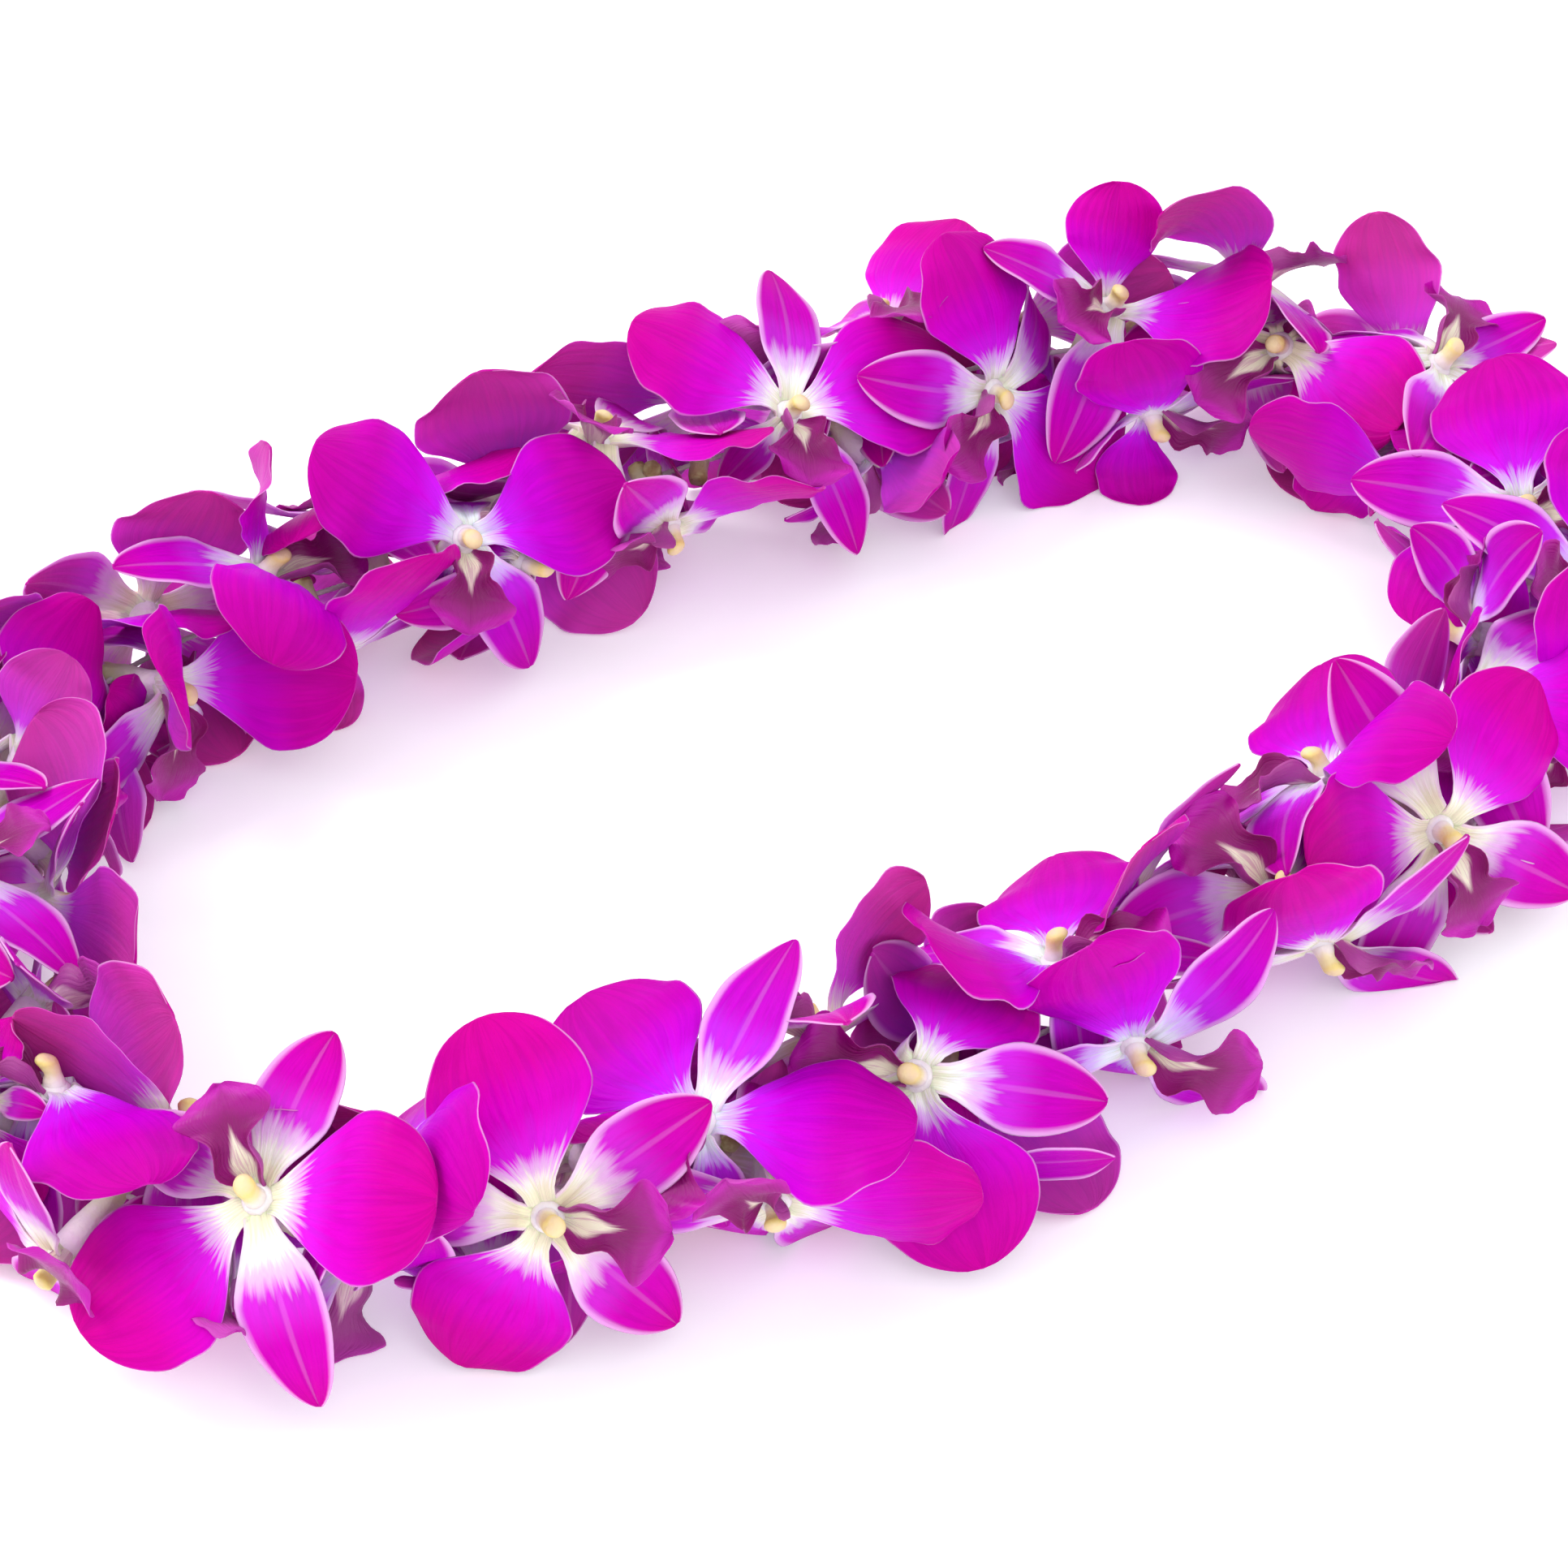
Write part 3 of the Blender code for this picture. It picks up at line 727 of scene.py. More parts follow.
# The tube from its cut stub to the hub's dome: part of the length, radius, and shift to the chin.
# The column from the hub to its cap: part of the length and radius.
TUBE_PROFILE = (
    (-0.31, 0.0017, 0.0),
    (-0.27, 0.0021, 0.0),
    (-0.12, 0.0019, 0.0),
    (0.12, 0.0023, 0.0),
    (0.34, 0.0029, 0.0006),
    (0.62, 0.0035, 0.0012),
    (0.86, 0.0036, 0.0006),
    (1.02, 0.0033, 0.0),
    (1.07, 0.0018, 0.0),
)
TUBE_ROWS = 26
STALK_RIBS = 6
RIB_HEIGHT = 0.05
STUB_DIMPLE = 0.0005
DOME_RISE = 0.0004
COLUMN_PROFILE = (
    (-0.20, 0.0026),
    (0.10, 0.0022),
    (0.45, 0.0018),
    (0.70, 0.0020),
    (0.86, 0.0021),
    (0.97, 0.0014),
    (1.0, 0.0006),
)
COLUMN_ROWS = 18
COLUMN_LENGTH = 0.0068
COLUMN_LEAN = 0.0016
COLUMN_HOLLOW = 0.0009
CAP_RISE = 0.0002
PROFILE_STEPS = 200
PROFILE_EASE = 8
ROUND_SIDES = 18
ROUND = np.linspace(0, 2 * math.pi, ROUND_SIDES, endpoint=False)

Shell = namedtuple("Shell", "points faces along across front material")


def fine_spine(organ, u):
    """As spine, but smooth enough for closely spaced sections."""
    points = spine_points(organ, FINE_STEPS)
    steps = np.linspace(0, 1, FINE_STEPS + 1)
    place = np.stack([np.interp(u, steps, points[:, k]) for k in range(3)], axis=1)
    return (place,) + spine(organ, u)[1:]


def smoothstep(low, high, x):
    part = np.clip((x - low) / (high - low), 0, 1)
    return part * part * (3 - 2 * part)


def bump_at(x, middle, width):
    return np.exp(-(((x - middle) / width) ** 2))


def grid_normals(grid):
    """Unit normals of a grid of points."""
    normals = np.cross(np.gradient(grid, axis=1), np.gradient(grid, axis=0))
    return normals / np.maximum(np.linalg.norm(normals, axis=2, keepdims=True), 1e-12)


def settled(heights, floor):
    """Heights eased up where they would go below the floor."""
    return floor + PRESS_EASE * np.logaddexp(0, (heights - floor) / PRESS_EASE)


def loft(rings):
    """Faces of a skin over equal sections, with one more point at each end."""
    count, size = rings.shape[:2]
    first, last, top = count * size, count * size + 1, (count - 1) * size
    faces = ring_faces(count, size)
    faces += [(first, (k + 1) % size, k) for k in range(size)]
    faces += [(last, top + k, top + (k + 1) % size) for k in range(size)]
    return faces


def shell_of(rings, ends, along, across, front, material):
    """One closed shell from its sections, its end points and what each point carries."""
    points = np.vstack((rings.reshape(-1, 3), ends))
    carried = [
        np.concatenate((part.reshape(-1), (part[0].mean(), part[-1].mean())))
        for part in (along, across, front)
    ]
    return Shell(points, loft(rings), *carried, MATERIALS.index(material))


def round_shell(rings, ends, parts, material):
    """A closed shell of round sections, which carry how far along and how far round they are."""
    along = np.repeat(parts[:, None], ROUND_SIDES, axis=1)
    across = np.tile(np.cos(ROUND), (len(parts), 1))
    return shell_of(rings, ends, along, across, np.ones_like(along), material)


def lip_shape(organ, u):
    """Half width and cup of a lip: side lobes that wrap round the column, a waist and a middle lobe."""
    lobes = 0.34 + 0.60 * bump_at(u, 0.24, 0.16) + 0.86 * bump_at(u, 0.70, 0.21)
    width = organ.half_width * lobes * np.clip((1 - u) / 0.10, 0, 1) ** 0.5 * 1.08
    cup = 1.75 - 1.45 * smoothstep(0.34, 0.62, u)
    return width, cup


def surface_waves(kind, u, v, chance):
    """How far an organ's surface stands off its cupped shape: margin waves, a groove and a lip's keels."""
    detail = DETAILS[kind]
    height, number, shift = FINER_WAVES
    waves = np.zeros((len(u), len(v)))
    for turn in (-1, 1):
        phase = chance.uniform(0, 1)
        bend = np.sin(2 * math.pi * (detail.waves * u + phase))
        bend += height * np.sin(2 * math.pi * (number * detail.waves * u + shift * phase))
        margin = np.clip(turn * v, 0, 1) ** MARGIN_FALL
        waves += np.outer(bend * smoothstep(0.15, 0.5, u), margin) * detail.wave
    waves -= np.outer(1 - 0.6 * u, bump_at(v, 0, GROOVE_WIDTH)) * detail.groove
    if kind == "lip":
        keels = sum(bump_at(v, at, KEEL_WIDTH) for at in KEELS)
        waves += np.outer(bump_at(u, 0.34, 0.20), keels) * KEEL_HEIGHT
    return waves


def width_and_cup(organ, u):
    """Half width and cup along an organ, rounder than the plain solid's."""
    kind = organ.kind.name
    if kind == "lip":
        return lip_shape(organ, u)
    cup = organ.cup * smoothstep(-0.1, 0.5, u) + CLAW_CUP * (1 - smoothstep(0.0, 0.3, u))
    return half_width_at(organ, u) * DETAILS[kind].widen, cup


def sheet(organ, chance):
    """An organ as a thin sheet with a rounded margin, rooted in the tube below the hub."""
    kind = organ.kind.name
    detail = DETAILS[kind]
    u = 1 - (1 - np.linspace(0, 1, detail.rows + 1)[:-1]) ** ROW_CROWDING
    v = np.sin(0.5 * math.pi * np.linspace(-1, 1, detail.columns))
    place, side, front = fine_spine(organ, u)
    width, cup = (part[:, None] for part in width_and_cup(organ, u))
    arc_out = width * (np.sin(cup * v) / cup)
    arc_up = width * ((1 - np.cos(cup * v)) / cup) + surface_waves(kind, u, v, chance)
    grid = place[:, None] + side[:, None] * arc_out[..., None] + front[:, None] * arc_up[..., None]
    inward = [grid[0] - organ.out * back - organ.axis * down for back, down in ROOTS]
    grid = np.concatenate((np.stack(inward), grid))
    u = np.concatenate((np.zeros(len(ROOTS)), u))
    claw = 1 + CLAW_THICKENING * (1 - u) ** 5
    thick = detail.thickness * claw[:, None] * (1 - v**2) ** 0.4
    floor = FLOOR_GAP + 0.5 * detail.thickness
    grid[..., 2] = settled(grid[..., 2], floor)
    normals = grid_normals(grid)
    normals *= np.sign((normals[len(ROOTS) + 3, detail.columns // 2] * front[3]).sum())
    upper = grid + normals * 0.5 * thick[..., None]
    lower = grid - normals * 0.5 * thick[..., None]
    rings = np.concatenate((upper, lower[:, -2:0:-1]), axis=1)
    rings[..., 2] = np.maximum(rings[..., 2], FLOOR_GAP)
    tip = fine_spine(organ, np.array((1.0,)))[0]
    tip[:, 2] = settled(tip[:, 2], floor)
    ends = np.vstack((rings[0].mean(axis=0), tip))
    count = rings.shape[1]
    across = np.tile(np.concatenate((v, v[-2:0:-1])), (len(u), 1))
    along = np.repeat(u[:, None], count, axis=1)
    facing = np.ones((len(u), count))
    facing[:, detail.columns :] = 0.0
    facing[:, (0, detail.columns - 1)] = 0.5
    return shell_of(rings, ends, along, across, facing, kind)


def turned(middles, radii, bloom, ridged=0.0):
    """Round sections about the given middles, square to the bloom's axis."""
    ways = np.outer(np.cos(ROUND), bloom.across) + np.outer(np.sin(ROUND), bloom.over)
    grow = 1 + ridged * np.cos(STALK_RIBS * ROUND)
    return middles[:, None] + ways * (radii[:, None] * grow)[..., None]


def through(profile, column, parts):
    """A profile's column at the given parts, eased from one entry to the next."""
    table = np.array(profile)
    fine = np.linspace(table[0, 0], table[-1, 0], PROFILE_STEPS)
    rough = np.interp(fine, table[:, 0], table[:, column])
    width = 2 * PROFILE_EASE + 1
    smooth = np.convolve(np.pad(rough, PROFILE_EASE, mode="edge"), np.ones(width) / width, mode="valid")
    return np.interp(parts, fine, smooth)


def tube_shell(bloom):
    """The bloom's tube: a ribbed stalk cut off short, a swollen chin and the dome under the column."""
    parts = np.linspace(TUBE_PROFILE[0][0], TUBE_PROFILE[-1][0], TUBE_ROWS)
    chin_way = hub_direction(bloom, math.pi)
    middles = bloom.root + np.outer(parts * bloom.length, bloom.axis)
    middles += np.outer(through(TUBE_PROFILE, 2, parts), chin_way)
    ribs = RIB_HEIGHT * (1 - smoothstep(0.1, 0.5, parts))
    rings = turned(middles, through(TUBE_PROFILE, 1, parts), bloom, ribs[:, None])
    rings[..., 2] = np.maximum(rings[..., 2], FLOOR_GAP)
    ends = np.vstack((middles[0] + bloom.axis * STUB_DIMPLE, middles[-1] + bloom.axis * DOME_RISE))
    return round_shell(rings, ends, parts, "tube")


def column_shell(bloom):
    """The column: a short stem that leans over the lip, hollowed on that side, with its rounded cap."""
    parts = np.linspace(COLUMN_PROFILE[0][0], 1.0, COLUMN_ROWS)
    chin_way = hub_direction(bloom, math.pi)
    middles = bloom.centre + np.outer(parts * COLUMN_LENGTH, bloom.axis)
    middles += np.outer(np.clip(parts, 0, 1) ** 2 * COLUMN_LEAN, chin_way)
    rings = turned(middles, through(COLUMN_PROFILE, 1, parts), bloom)
    hollow = np.outer(bump_at(parts, 0.55, 0.16), bump_at(ROUND, math.pi, 0.6)) * COLUMN_HOLLOW
    rings -= chin_way * hollow[..., None]
    ends = np.vstack((middles[0], middles[-1] + bloom.axis * CAP_RISE))
    return round_shell(rings, ends, parts, "column")


def smooth_object(name, points, faces, materials):
    """One smooth shaded object in the scene."""
    mesh = bpy.data.meshes.new(name)
    mesh.from_pydata(points, [], faces)
    mesh.polygons.foreach_set("use_smooth", [True] * len(faces))
    for material in materials:
        mesh.materials.append(material)
    piece = bpy.data.objects.new(name, mesh)
    bpy.context.collection.objects.link(piece)
    return piece


def shells_object(name, shells, materials, tint):
    """One object from closed shells, with what each point carries as mesh attributes."""
    points, faces = stacked((shell.points, shell.faces) for shell in shells)
    piece = smooth_object(name, points, faces, materials)
    mesh = piece.data
    slots = [shell.material for shell in shells for _ in shell.faces]
    mesh.polygons.foreach_set("material_index", slots)
    for key in ("along", "across", "front"):
        values = np.concatenate([getattr(shell, key) for shell in shells])
        mesh.attributes.new(key, "FLOAT", "POINT").data.foreach_set("value", values.astype(np.float32))
    tints = np.full(len(points), tint, dtype=np.float32)
    mesh.attributes.new("tint", "FLOAT", "POINT").data.foreach_set("value", tints)
    work = bmesh.new()
    work.from_mesh(mesh)
    bmesh.ops.recalc_face_normals(work, faces=work.faces)
    work.to_mesh(mesh)
    work.free()
    return piece


# ---------------------------------------------------------------- materials


# Colours of a petal's margin, middle vein and back, of what its tint is multiplied by, warm or cool.
PALE_MARGIN = (0.80, 0.50, 0.80)
PALE_VEIN = (0.82, 0.55, 0.86)
PALE_BACK = (0.74, 0.38, 0.76)
WARM = (1.06, 1.0, 0.84)
COOL = (0.93, 1.0, 1.14)
LIP_BACK = (0.62, 0.16, 0.55)
LIP_CREAM = (0.84, 0.80, 0.62)
LIP_LINES = (0.45, 0.05, 0.32)
FLUSH = (0.72, 0.30, 0.62)

# How strongly a petal's streaks darken it and shift its colours, and its tint shifts them.
STREAK_SHADE = 0.86
STREAK_SHIFT = 0.30
TINT_SHIFT = 0.14
VEIN_STRETCH = 1.6
TINT_SPREAD = 37.0
MARGIN_WANDER = 0.35
VEIN_HALF_WIDTH = (0.035, 0.09)
PETAL_GRAIN = 900.0
FLESH_GRAIN = 1100.0


class Paint:
    """A Principled material and short ways to add nodes to it."""

    def __init__(self, name):
        self.material = bpy.data.materials.new(name)
        self.material.use_nodes = True
        self.tree = self.material.node_tree
        self.shader = self.tree.nodes["Principled BSDF"]

    def node(self, kind, output=0, settings=None, **inputs):
        made = self.tree.nodes.new(kind)
        for key, value in (settings or {}).items():
            setattr(made, key, value)
        for key, value in inputs.items():
            self.put(made.inputs[int(key[1:]) if key[1:].isdigit() else key.replace("_", " ")], value)
        return made.outputs[output]

    def put(self, socket, value):
        if isinstance(value, bpy.types.NodeSocket):
            self.tree.links.new(value, socket)
        else:
            socket.default_value = value

    def carried(self, *names):
        return [self.node("ShaderNodeAttribute", "Fac", {"attribute_name": name}) for name in names]

    def maths(self, operation, a, b=0.0, clamp=False):
        return self.node("ShaderNodeMath", 0, {"operation": operation, "use_clamp": clamp}, i0=a, i1=b)

    def times(self, a, b, clamp=False):
        return self.maths("MULTIPLY", a, b, clamp)

    def plus(self, a, b, clamp=False):
        return self.maths("ADD", a, b, clamp)

    def swing(self, factor, amount):
        """How far a factor is from its middle, as a part of the given amount."""
        return self.times(self.maths("SUBTRACT", factor, 0.5), amount)

    def ramp(self, factor, stops):
        made = self.tree.nodes.new("ShaderNodeValToRGB")
        self.put(made.inputs[0], factor)
        ramp = made.color_ramp
        ramp.interpolation = "EASE"
        while len(ramp.elements) < len(stops):
            ramp.elements.new(1.0)
        for element, (place, colour) in zip(ramp.elements, stops):
            element.position = place
            element.color = (*colour, 1.0) if isinstance(colour, tuple) else (colour, colour, colour, 1.0)
        return made.outputs[0]

    def mix(self, factor, a, b, blend="MIX"):
        made = self.tree.nodes.new("ShaderNodeMix")
        made.data_type = "RGBA"
        made.blend_type = blend
        for socket, value in zip((made.inputs[0], made.inputs[6], made.inputs[7]), (factor, a, b)):
            self.put(socket, (*value, 1.0) if isinstance(value, tuple) else value)
        return made.outputs[2]

    def place(self):
        return self.node("ShaderNodeTexCoord", 3)

    def noise(self, vector, scale, detail=2.0, roughness=0.5):
        return self.node(
            "ShaderNodeTexNoise", 0, None, Vector=vector, Scale=scale, Detail=detail, Roughness=roughness
        )

    def veins(self, along, across, tint, count):
        """Lengthwise streaks that follow an organ from its claw to its tip."""
        vector = self.node(
            "ShaderNodeCombineXYZ",
            X=self.times(across, count),
            Y=self.times(along, VEIN_STRETCH),
            Z=self.times(tint, TINT_SPREAD),
        )
        return self.noise(vector, 1.0, 3.0, 0.6)

    def finish(self, colour, roughness, height, depth, **values):
        bump = self.node("ShaderNodeBump", Height=height, Distance=depth, Strength=1.0)
        values.update(Base_Color=colour, Roughness=roughness, Normal=bump)
        for key, value in values.items():
            self.put(self.shader.inputs[key.replace("_", " ")], value)
        return self.material


def flesh(shine, weight, depth, radius):
    """The shader's values for living tissue: how much it shines, and how light spreads inside it."""
    return {
        "Specular_IOR_Level": shine,
        "Subsurface_Weight": weight,
        "Subsurface_Scale": depth,
        "Subsurface_Radius": radius,
    }


def petal_like(name, stops, count, margin, midline, back):
    """A petal's or sepal's material: white claw, violet throat, magenta blade, pale margin and veins."""
    paint = Paint(name)
    along, across, front, tint = paint.carried("along", "across", "front", "tint")
    side = paint.maths("ABSOLUTE", across)
    streaks = paint.veins(along, across, tint, count)
    wander = paint.swing(streaks, STREAK_SHIFT)
    place = paint.plus(paint.plus(along, wander), paint.swing(tint, TINT_SHIFT), True)
    blade = paint.ramp(place, stops)
    lines = paint.ramp(streaks, ((0.0, STREAK_SHADE), (0.38, STREAK_SHADE), (0.60, 1.0), (1.0, 1.0)))
    blade = paint.mix(1.0, blade, lines, "MULTIPLY")
    blade = paint.mix(1.0, blade, paint.mix(tint, WARM, COOL), "MULTIPLY")
    inner, outer, pale = margin
    edge = paint.plus(side, paint.times(wander, MARGIN_WANDER))
    rim = paint.ramp(edge, ((0.0, 0.0), (inner, 0.0), (outer, pale), (1.0, pale)))
    blade = paint.mix(rim, blade, PALE_MARGIN)
    near, far = VEIN_HALF_WIDTH
    middle = paint.ramp(side, ((0.0, midline), (near, midline), (far, 0.0), (1.0, 0.0)))
    blade = paint.mix(middle, blade, PALE_VEIN)
    colour = paint.mix(front, paint.mix(back, blade, PALE_BACK), blade)
    grain = paint.noise(paint.place(), PETAL_GRAIN)
    roughness = paint.plus(0.36, paint.times(grain, 0.20))
    height = paint.plus(streaks, paint.times(grain, 0.25))
    return paint.finish(colour, roughness, height, 0.00025, **flesh(0.03, 0.30, 0.002, (1.0, 0.25, 0.8)))


def petal_paint():
    stops = (
        (0.0, (0.86, 0.84, 0.72)),
        (0.05, (0.88, 0.84, 0.90)),
        (0.12, (0.72, 0.42, 0.88)),
        (0.21, (0.60, 0.01, 0.74)),
        (0.42, (0.55, 0.0, 0.52)),
        (0.72, (0.50, 0.0, 0.33)),
        (1.0, (0.49, 0.0, 0.28)),
    )
    return petal_like("petal", stops, 11.0, (0.97, 0.995, 0.36), 0.0, 0.10)


def sepal_paint():
    stops = (
        (0.0, (0.84, 0.84, 0.66)),
        (0.12, (0.88, 0.86, 0.90)),
        (0.23, (0.74, 0.46, 0.88)),
        (0.36, (0.56, 0.02, 0.66)),
        (0.62, (0.50, 0.0, 0.44)),
        (1.0, (0.49, 0.0, 0.32)),
    )
    return petal_like("sepal", stops, 7.0, (0.78, 0.96, 0.62), 0.08, 0.08)


def lip_paint():
    """Dark maroon lobes round a cream throat with purple lines."""
    paint = Paint("lip")
    along, across, front, tint = paint.carried("along", "across", "front", "tint")
    side = paint.maths("ABSOLUTE", across)
    streaks = paint.veins(along, across, tint, 14.0)
    stops = (
        (0.0, (0.50, 0.10, 0.40)),
        (0.30, (0.26, 0.0, 0.16)),
        (0.62, (0.20, 0.0, 0.11)),
        (0.86, (0.30, 0.0, 0.20)),
        (1.0, (0.44, 0.0, 0.34)),
    )
    blade = paint.ramp(paint.plus(along, paint.times(side, 0.25)), stops)
    reach = paint.plus(paint.plus(paint.times(along, 1.15), side), paint.swing(streaks, 0.35))
    throat = paint.ramp(reach, ((0.0, 1.0), (0.48, 0.95), (0.70, 0.0), (1.0, 0.0)))
    lines = paint.ramp(streaks, ((0.0, 1.0), (0.42, 0.9), (0.50, 0.0), (1.0, 0.0)))
    cream = paint.mix(paint.times(lines, 0.45), LIP_CREAM, LIP_LINES)
    behind = paint.times(paint.maths("SUBTRACT", 1.0, front), 0.3)
    colour = paint.mix(behind, paint.mix(throat, blade, cream), LIP_BACK)
    grain = paint.noise(paint.place(), PETAL_GRAIN)
    roughness = paint.plus(0.34, paint.times(grain, 0.2))
    height = paint.plus(streaks, paint.times(grain, 0.3))
    return paint.finish(colour, roughness, height, 0.0003, **flesh(0.3, 0.2, 0.0015, (1.0, 0.2, 0.6)))


def flesh_paint(name, stops, depth):
    """The column's or tube's waxy flesh, coloured along its length."""
    paint = Paint(name)
    along, across, tint = paint.carried("along", "across", "tint")
    mottle = paint.noise(paint.place(), 420.0, 3.0)
    shifted = paint.plus(along, paint.swing(mottle, 0.35))
    colour = paint.ramp(paint.times(paint.plus(shifted, 0.35), 0.70), stops)
    colour = paint.mix(paint.times(paint.times(across, tint), 0.25, True), colour, FLUSH)
    grain = paint.noise(paint.place(), FLESH_GRAIN)
    roughness = paint.plus(0.38, paint.times(grain, 0.2))
    height = paint.plus(mottle, grain)
    return paint.finish(colour, roughness, height, depth, **flesh(0.35, 0.25, 0.002, (1.0, 0.8, 0.5)))


def column_paint():
    stops = (
        (0.0, (0.80, 0.62, 0.78)),
        (0.40, (0.84, 0.74, 0.72)),
        (0.66, (0.82, 0.72, 0.36)),
        (0.82, (0.80, 0.66, 0.22)),
        (0.93, (0.76, 0.60, 0.34)),
    )
    return flesh_paint("column", stops, 0.00015)


def tube_paint():
    stops = (
        (0.0, (0.42, 0.30, 0.12)),
        (0.06, (0.62, 0.60, 0.26)),
        (0.22, (0.72, 0.74, 0.42)),
        (0.42, (0.80, 0.80, 0.62)),
        (0.62, (0.84, 0.74, 0.78)),
        (0.86, (0.84, 0.66, 0.82)),
        (1.0, (0.86, 0.80, 0.80)),
    )
    return flesh_paint("tube", stops, 0.0002)


def cotton_paint():
    """Matt cotton thread with fine fibres along the twist."""
    paint = Paint("cotton")
    fibres = paint.noise(paint.place(), 2600.0, 4.0, 0.7)
    stain = paint.noise(paint.place(), 60.0)
    colour = paint.mix(fibres, (0.62, 0.60, 0.54), (0.90, 0.89, 0.85))
    colour = paint.mix(paint.times(stain, 0.35), colour, (0.70, 0.55, 0.62))
    return paint.finish(colour, 0.92, fibres, 0.0002, Sheen_Weight=0.3, Specular_IOR_Level=0.1)


# ---------------------------------------------------------------- the string and its knot

# One turn of its two plies, how far apart its sections are and their sides, and how deep the
# groove between the plies is as a part of its radius.
STRING_LENGTH = 0.92
TWIST = 0.0026
TWINE_STEP = 0.00045
TWINE_SIDES = 10
PLY_GROOVE = 0.26
KNOT_STEPS = 90
KNOT_SCALE = 0.38
KNOT_DEPTH = 1.3
TAIL_STEPS = 20
TWINE_TAIL_START = 0.05


def twine_shell(points, closed):
    """Two plies twisted together, as one lobed skin along the given run."""
    length = np.linalg.norm(np.diff(points, axis=0), axis=1).sum()
    turns = round(length / TWIST) * 2 * math.pi
    angles = np.linspace(0, 2 * math.pi, TWINE_SIDES, endpoint=False)
    lobes = angles - np.linspace(0, turns, len(points), endpoint=not closed)[:, None]
    radii = STRING_RADIUS * (1 - PLY_GROOVE + PLY_GROOVE * np.abs(np.cos(lobes)))
    return swept_mesh(swept(points, radii, angles, closed), closed)


def knot_line():
    """An overhand knot's own line, about the origin, across the string."""
    turn = np.linspace(0, 2 * math.pi, KNOT_STEPS, endpoint=False)
    x = np.sin(turn) + 2 * np.sin(2 * turn)
    y = np.cos(turn) - 2 * np.cos(2 * turn)
    z = -np.sin(3 * turn) * KNOT_DEPTH
    return np.stack((x, y, z), axis=1) * (KNOT_RADIUS * KNOT_SCALE)


def twine(cotton):
    """The string round the whole ring, its knot and its two tails."""
    closed, run = closed_run(STRING_LINE)
    places = np.linspace(0, run[-1], int(STRING_LENGTH / TWINE_STEP), endpoint=False)
    line = np.stack([np.interp(places, run, closed[:, k]) for k in range(3)], axis=1)
    middle, way = string_place(-0.5)
    off = unit(np.cross((0.0, 0.0, 1.0), way))
    knot = middle + knot_line() @ np.stack((off, np.cross(way, off), way))
    reach = np.linspace(TWINE_TAIL_START, 1.0, TAIL_STEPS)
    parts = [twine_shell(line, True), twine_shell(knot, True)]
    parts += [twine_shell(tail_line(turn, reach), False) for turn in (-1, 1)]
    points, faces = stacked(parts)
    return smooth_object("twine", points, faces, [cotton])


# ---------------------------------------------------------------- floor, light and camera

FLOOR_SIDE = 8.0
FLOOR_GLOW = 0.27
WORLD_STRENGTH = 1.18

# The camera's aim, its direction from there, its distance and its lens in millimetres.
TARGET = (-0.0091, -0.0126, 0.0239)
AZIMUTH = math.radians(-41)
ELEVATION = math.radians(38.4)
DISTANCE = 1.1
LENS = 128.0
SENSOR_WIDTH = 36.0


def paper_floor():
    half = FLOOR_SIDE / 2
    mesh = bpy.data.meshes.new("floor")
    corners = [(-half, -half, 0), (half, -half, 0), (half, half, 0), (-half, half, 0)]
    mesh.from_pydata(corners, [], [(0, 1, 2, 3)])
    paint = Paint("floor")
    grain = paint.noise(paint.place(), 60.0, 3.0)
    colour = paint.mix(grain, (0.90, 0.90, 0.91), (0.92, 0.92, 0.93))
    glow = {"Emission_Color": (0.94, 0.96, 1.0, 1.0), "Emission_Strength": FLOOR_GLOW}
    mesh.materials.append(paint.finish(colour, 0.9, grain, 0.0001, Specular_IOR_Level=0.1, **glow))
    floor = bpy.data.objects.new("floor", mesh)
    bpy.context.collection.objects.link(floor)


def soft_light(name, place, size, power, colour):
    """A round area light that shines at the middle of the floor."""
    data = bpy.data.lights.new(name, "AREA")
    data.shape = "DISK"
    data.size = size
    data.energy = power
    data.color = colour
    lamp = bpy.data.objects.new(name, data)
    lamp.location = place
    lamp.rotation_euler = (-Vector(place)).to_track_quat("-Z", "Y").to_euler()
    bpy.context.collection.objects.link(lamp)


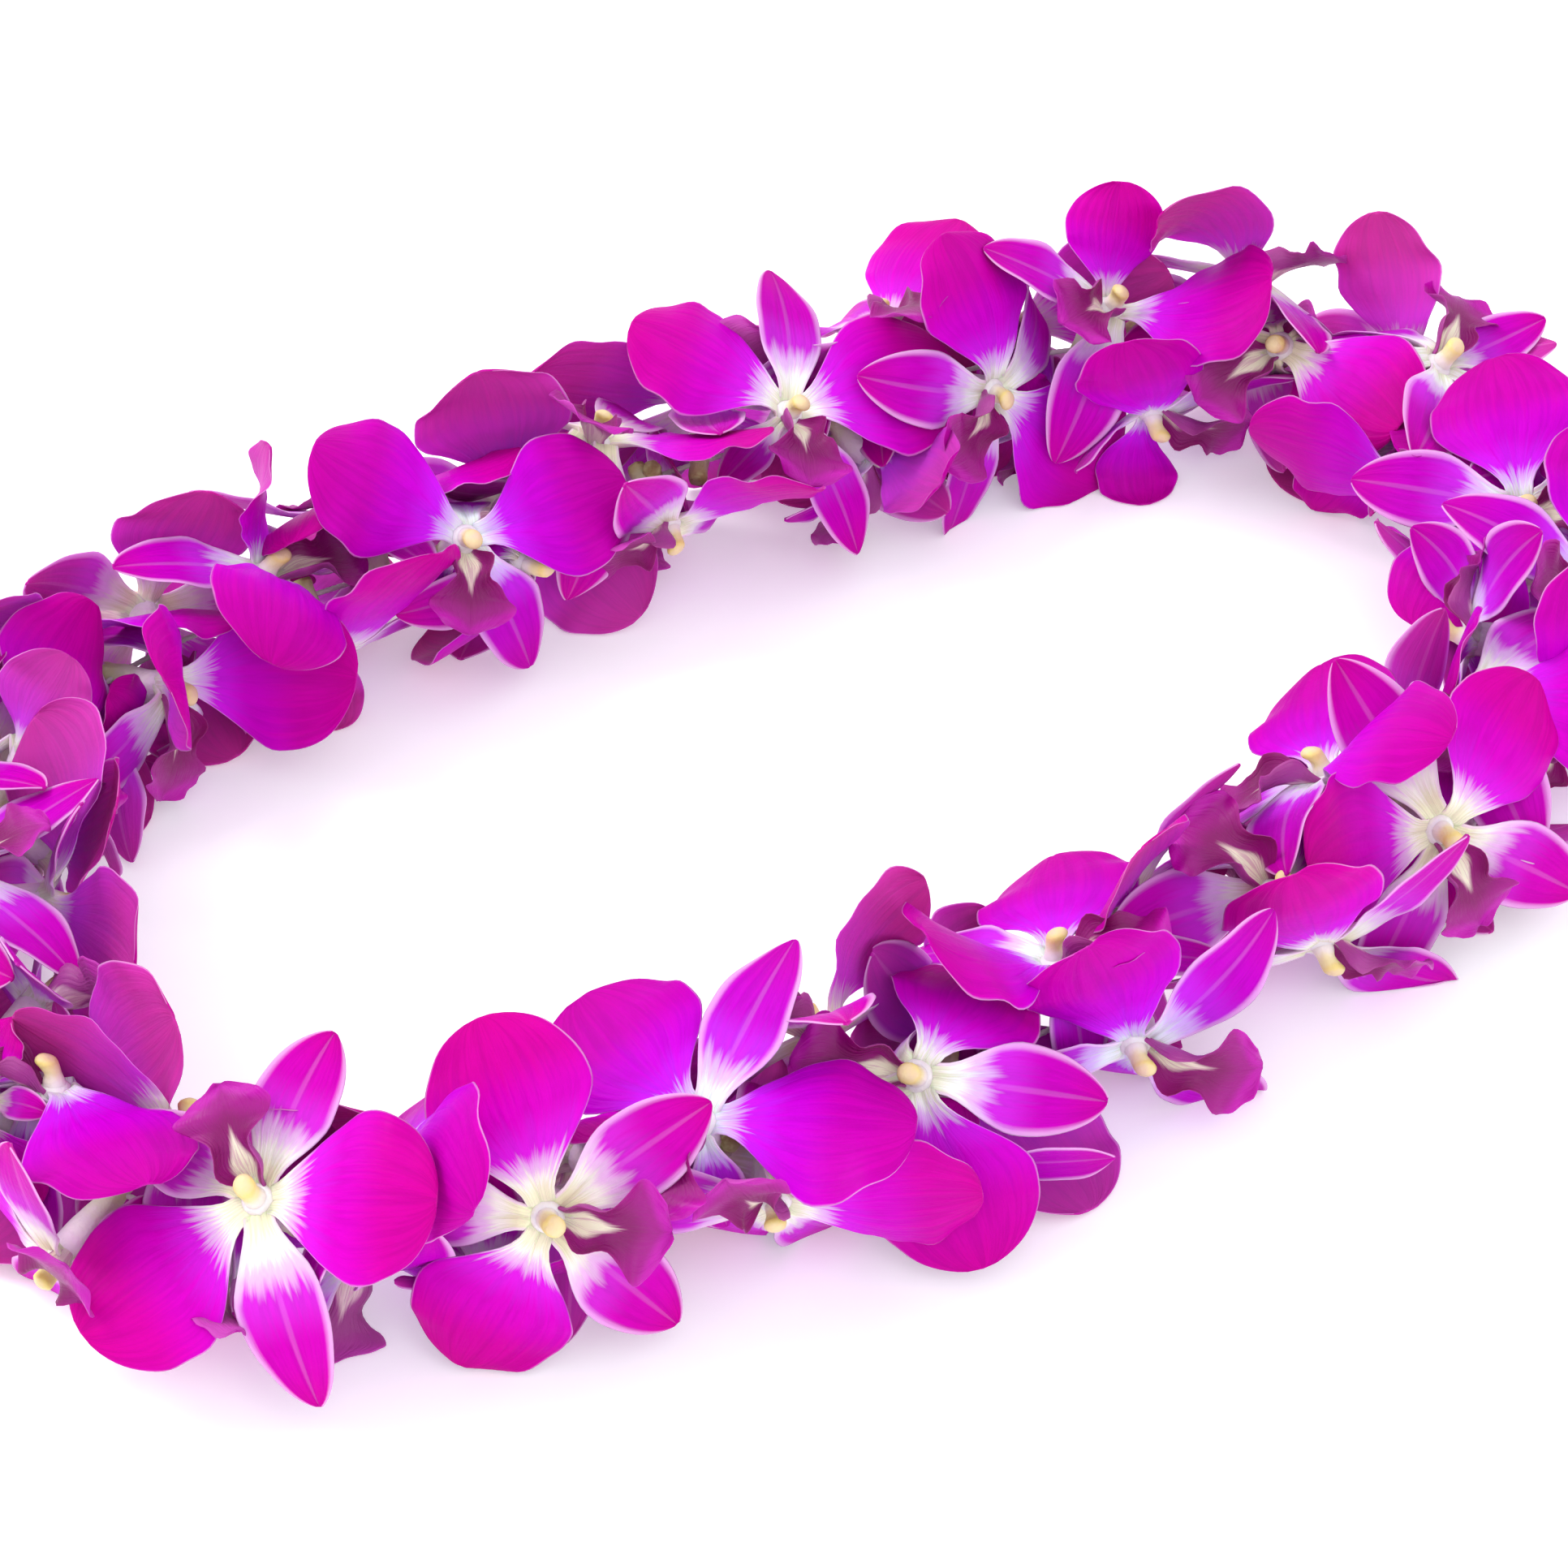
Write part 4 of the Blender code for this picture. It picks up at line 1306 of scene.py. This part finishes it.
def studio():
    world = bpy.data.worlds.new("studio")
    world.use_nodes = True
    background = world.node_tree.nodes["Background"]
    background.inputs["Color"].default_value = (0.97, 0.98, 1.0, 1.0)
    background.inputs["Strength"].default_value = WORLD_STRENGTH
    bpy.context.scene.world = world
    soft_light("key", (-0.9, 1.1, 1.6), 1.0, 22.0, (1.0, 0.98, 0.96))
    soft_light("fill", (-0.6, -1.4, 1.3), 1.4, 9.0, (0.96, 0.98, 1.0))
    bpy.context.scene.view_settings.view_transform = "Standard"


def camera():
    data = bpy.data.cameras.new("camera")
    data.lens = LENS
    data.sensor_width = SENSOR_WIDTH
    data.clip_start = 0.01
    data.clip_end = 20.0
    eye = bpy.data.objects.new("camera", data)
    level = math.cos(ELEVATION)
    back = Vector((math.sin(AZIMUTH) * level, -math.cos(AZIMUTH) * level, math.sin(ELEVATION)))
    eye.location = Vector(TARGET) + back * DISTANCE
    eye.rotation_euler = (-back).to_track_quat("-Z", "Y").to_euler()
    bpy.context.collection.objects.link(eye)
    bpy.context.scene.camera = eye


# ---------------------------------------------------------------- the whole scene

# The seed of the first bloom's own look, the range of tints, and how far from its node's box a bloom
# may have been laid.
FIRST_LOOK = 1000
TINTS = (0.05, 0.95)
PLACE_TOLERANCE = 0.0005


def main():
    camera()
    studio()
    paper_floor()
    blooms = lay_out()
    coarse = [bloom_points(bloom) for bloom in blooms]
    move = np.array(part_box("orchid_01")[0]) - coarse[0].min(axis=0)
    paints = [petal_paint(), sepal_paint(), lip_paint(), column_paint(), tube_paint()]
    for i, bloom in enumerate(blooms + fill_in(blooms)):
        chance = random.Random(FIRST_LOOK + i)
        tint = chance.uniform(*TINTS)
        shells = [sheet(organ, chance) for _, organ in sorted(bloom.organs.items())]
        shells += [column_shell(bloom), tube_shell(bloom)]
        piece = shells_object(f"bloom_{i + 1:02d}", shells, paints, tint)
        piece.location = move
        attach(piece, "root")
        if i < BLOOMS:
            node = f"orchid_{i + 1:02d}"
            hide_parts(node)
            low, high = (np.array(corner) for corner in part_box(node))
            off = np.abs((coarse[i].min(axis=0) + move - low, coarse[i].max(axis=0) + move - high)).max()
            if off > PLACE_TOLERANCE:
                raise RuntimeError(f"{node} lies {off * 1000:.2f} mm from the bloom that stands for it")
    string = twine(cotton_paint())
    string.location = move
    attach(string, "root")
    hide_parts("string")


main()
bpy.context.view_layer.update()
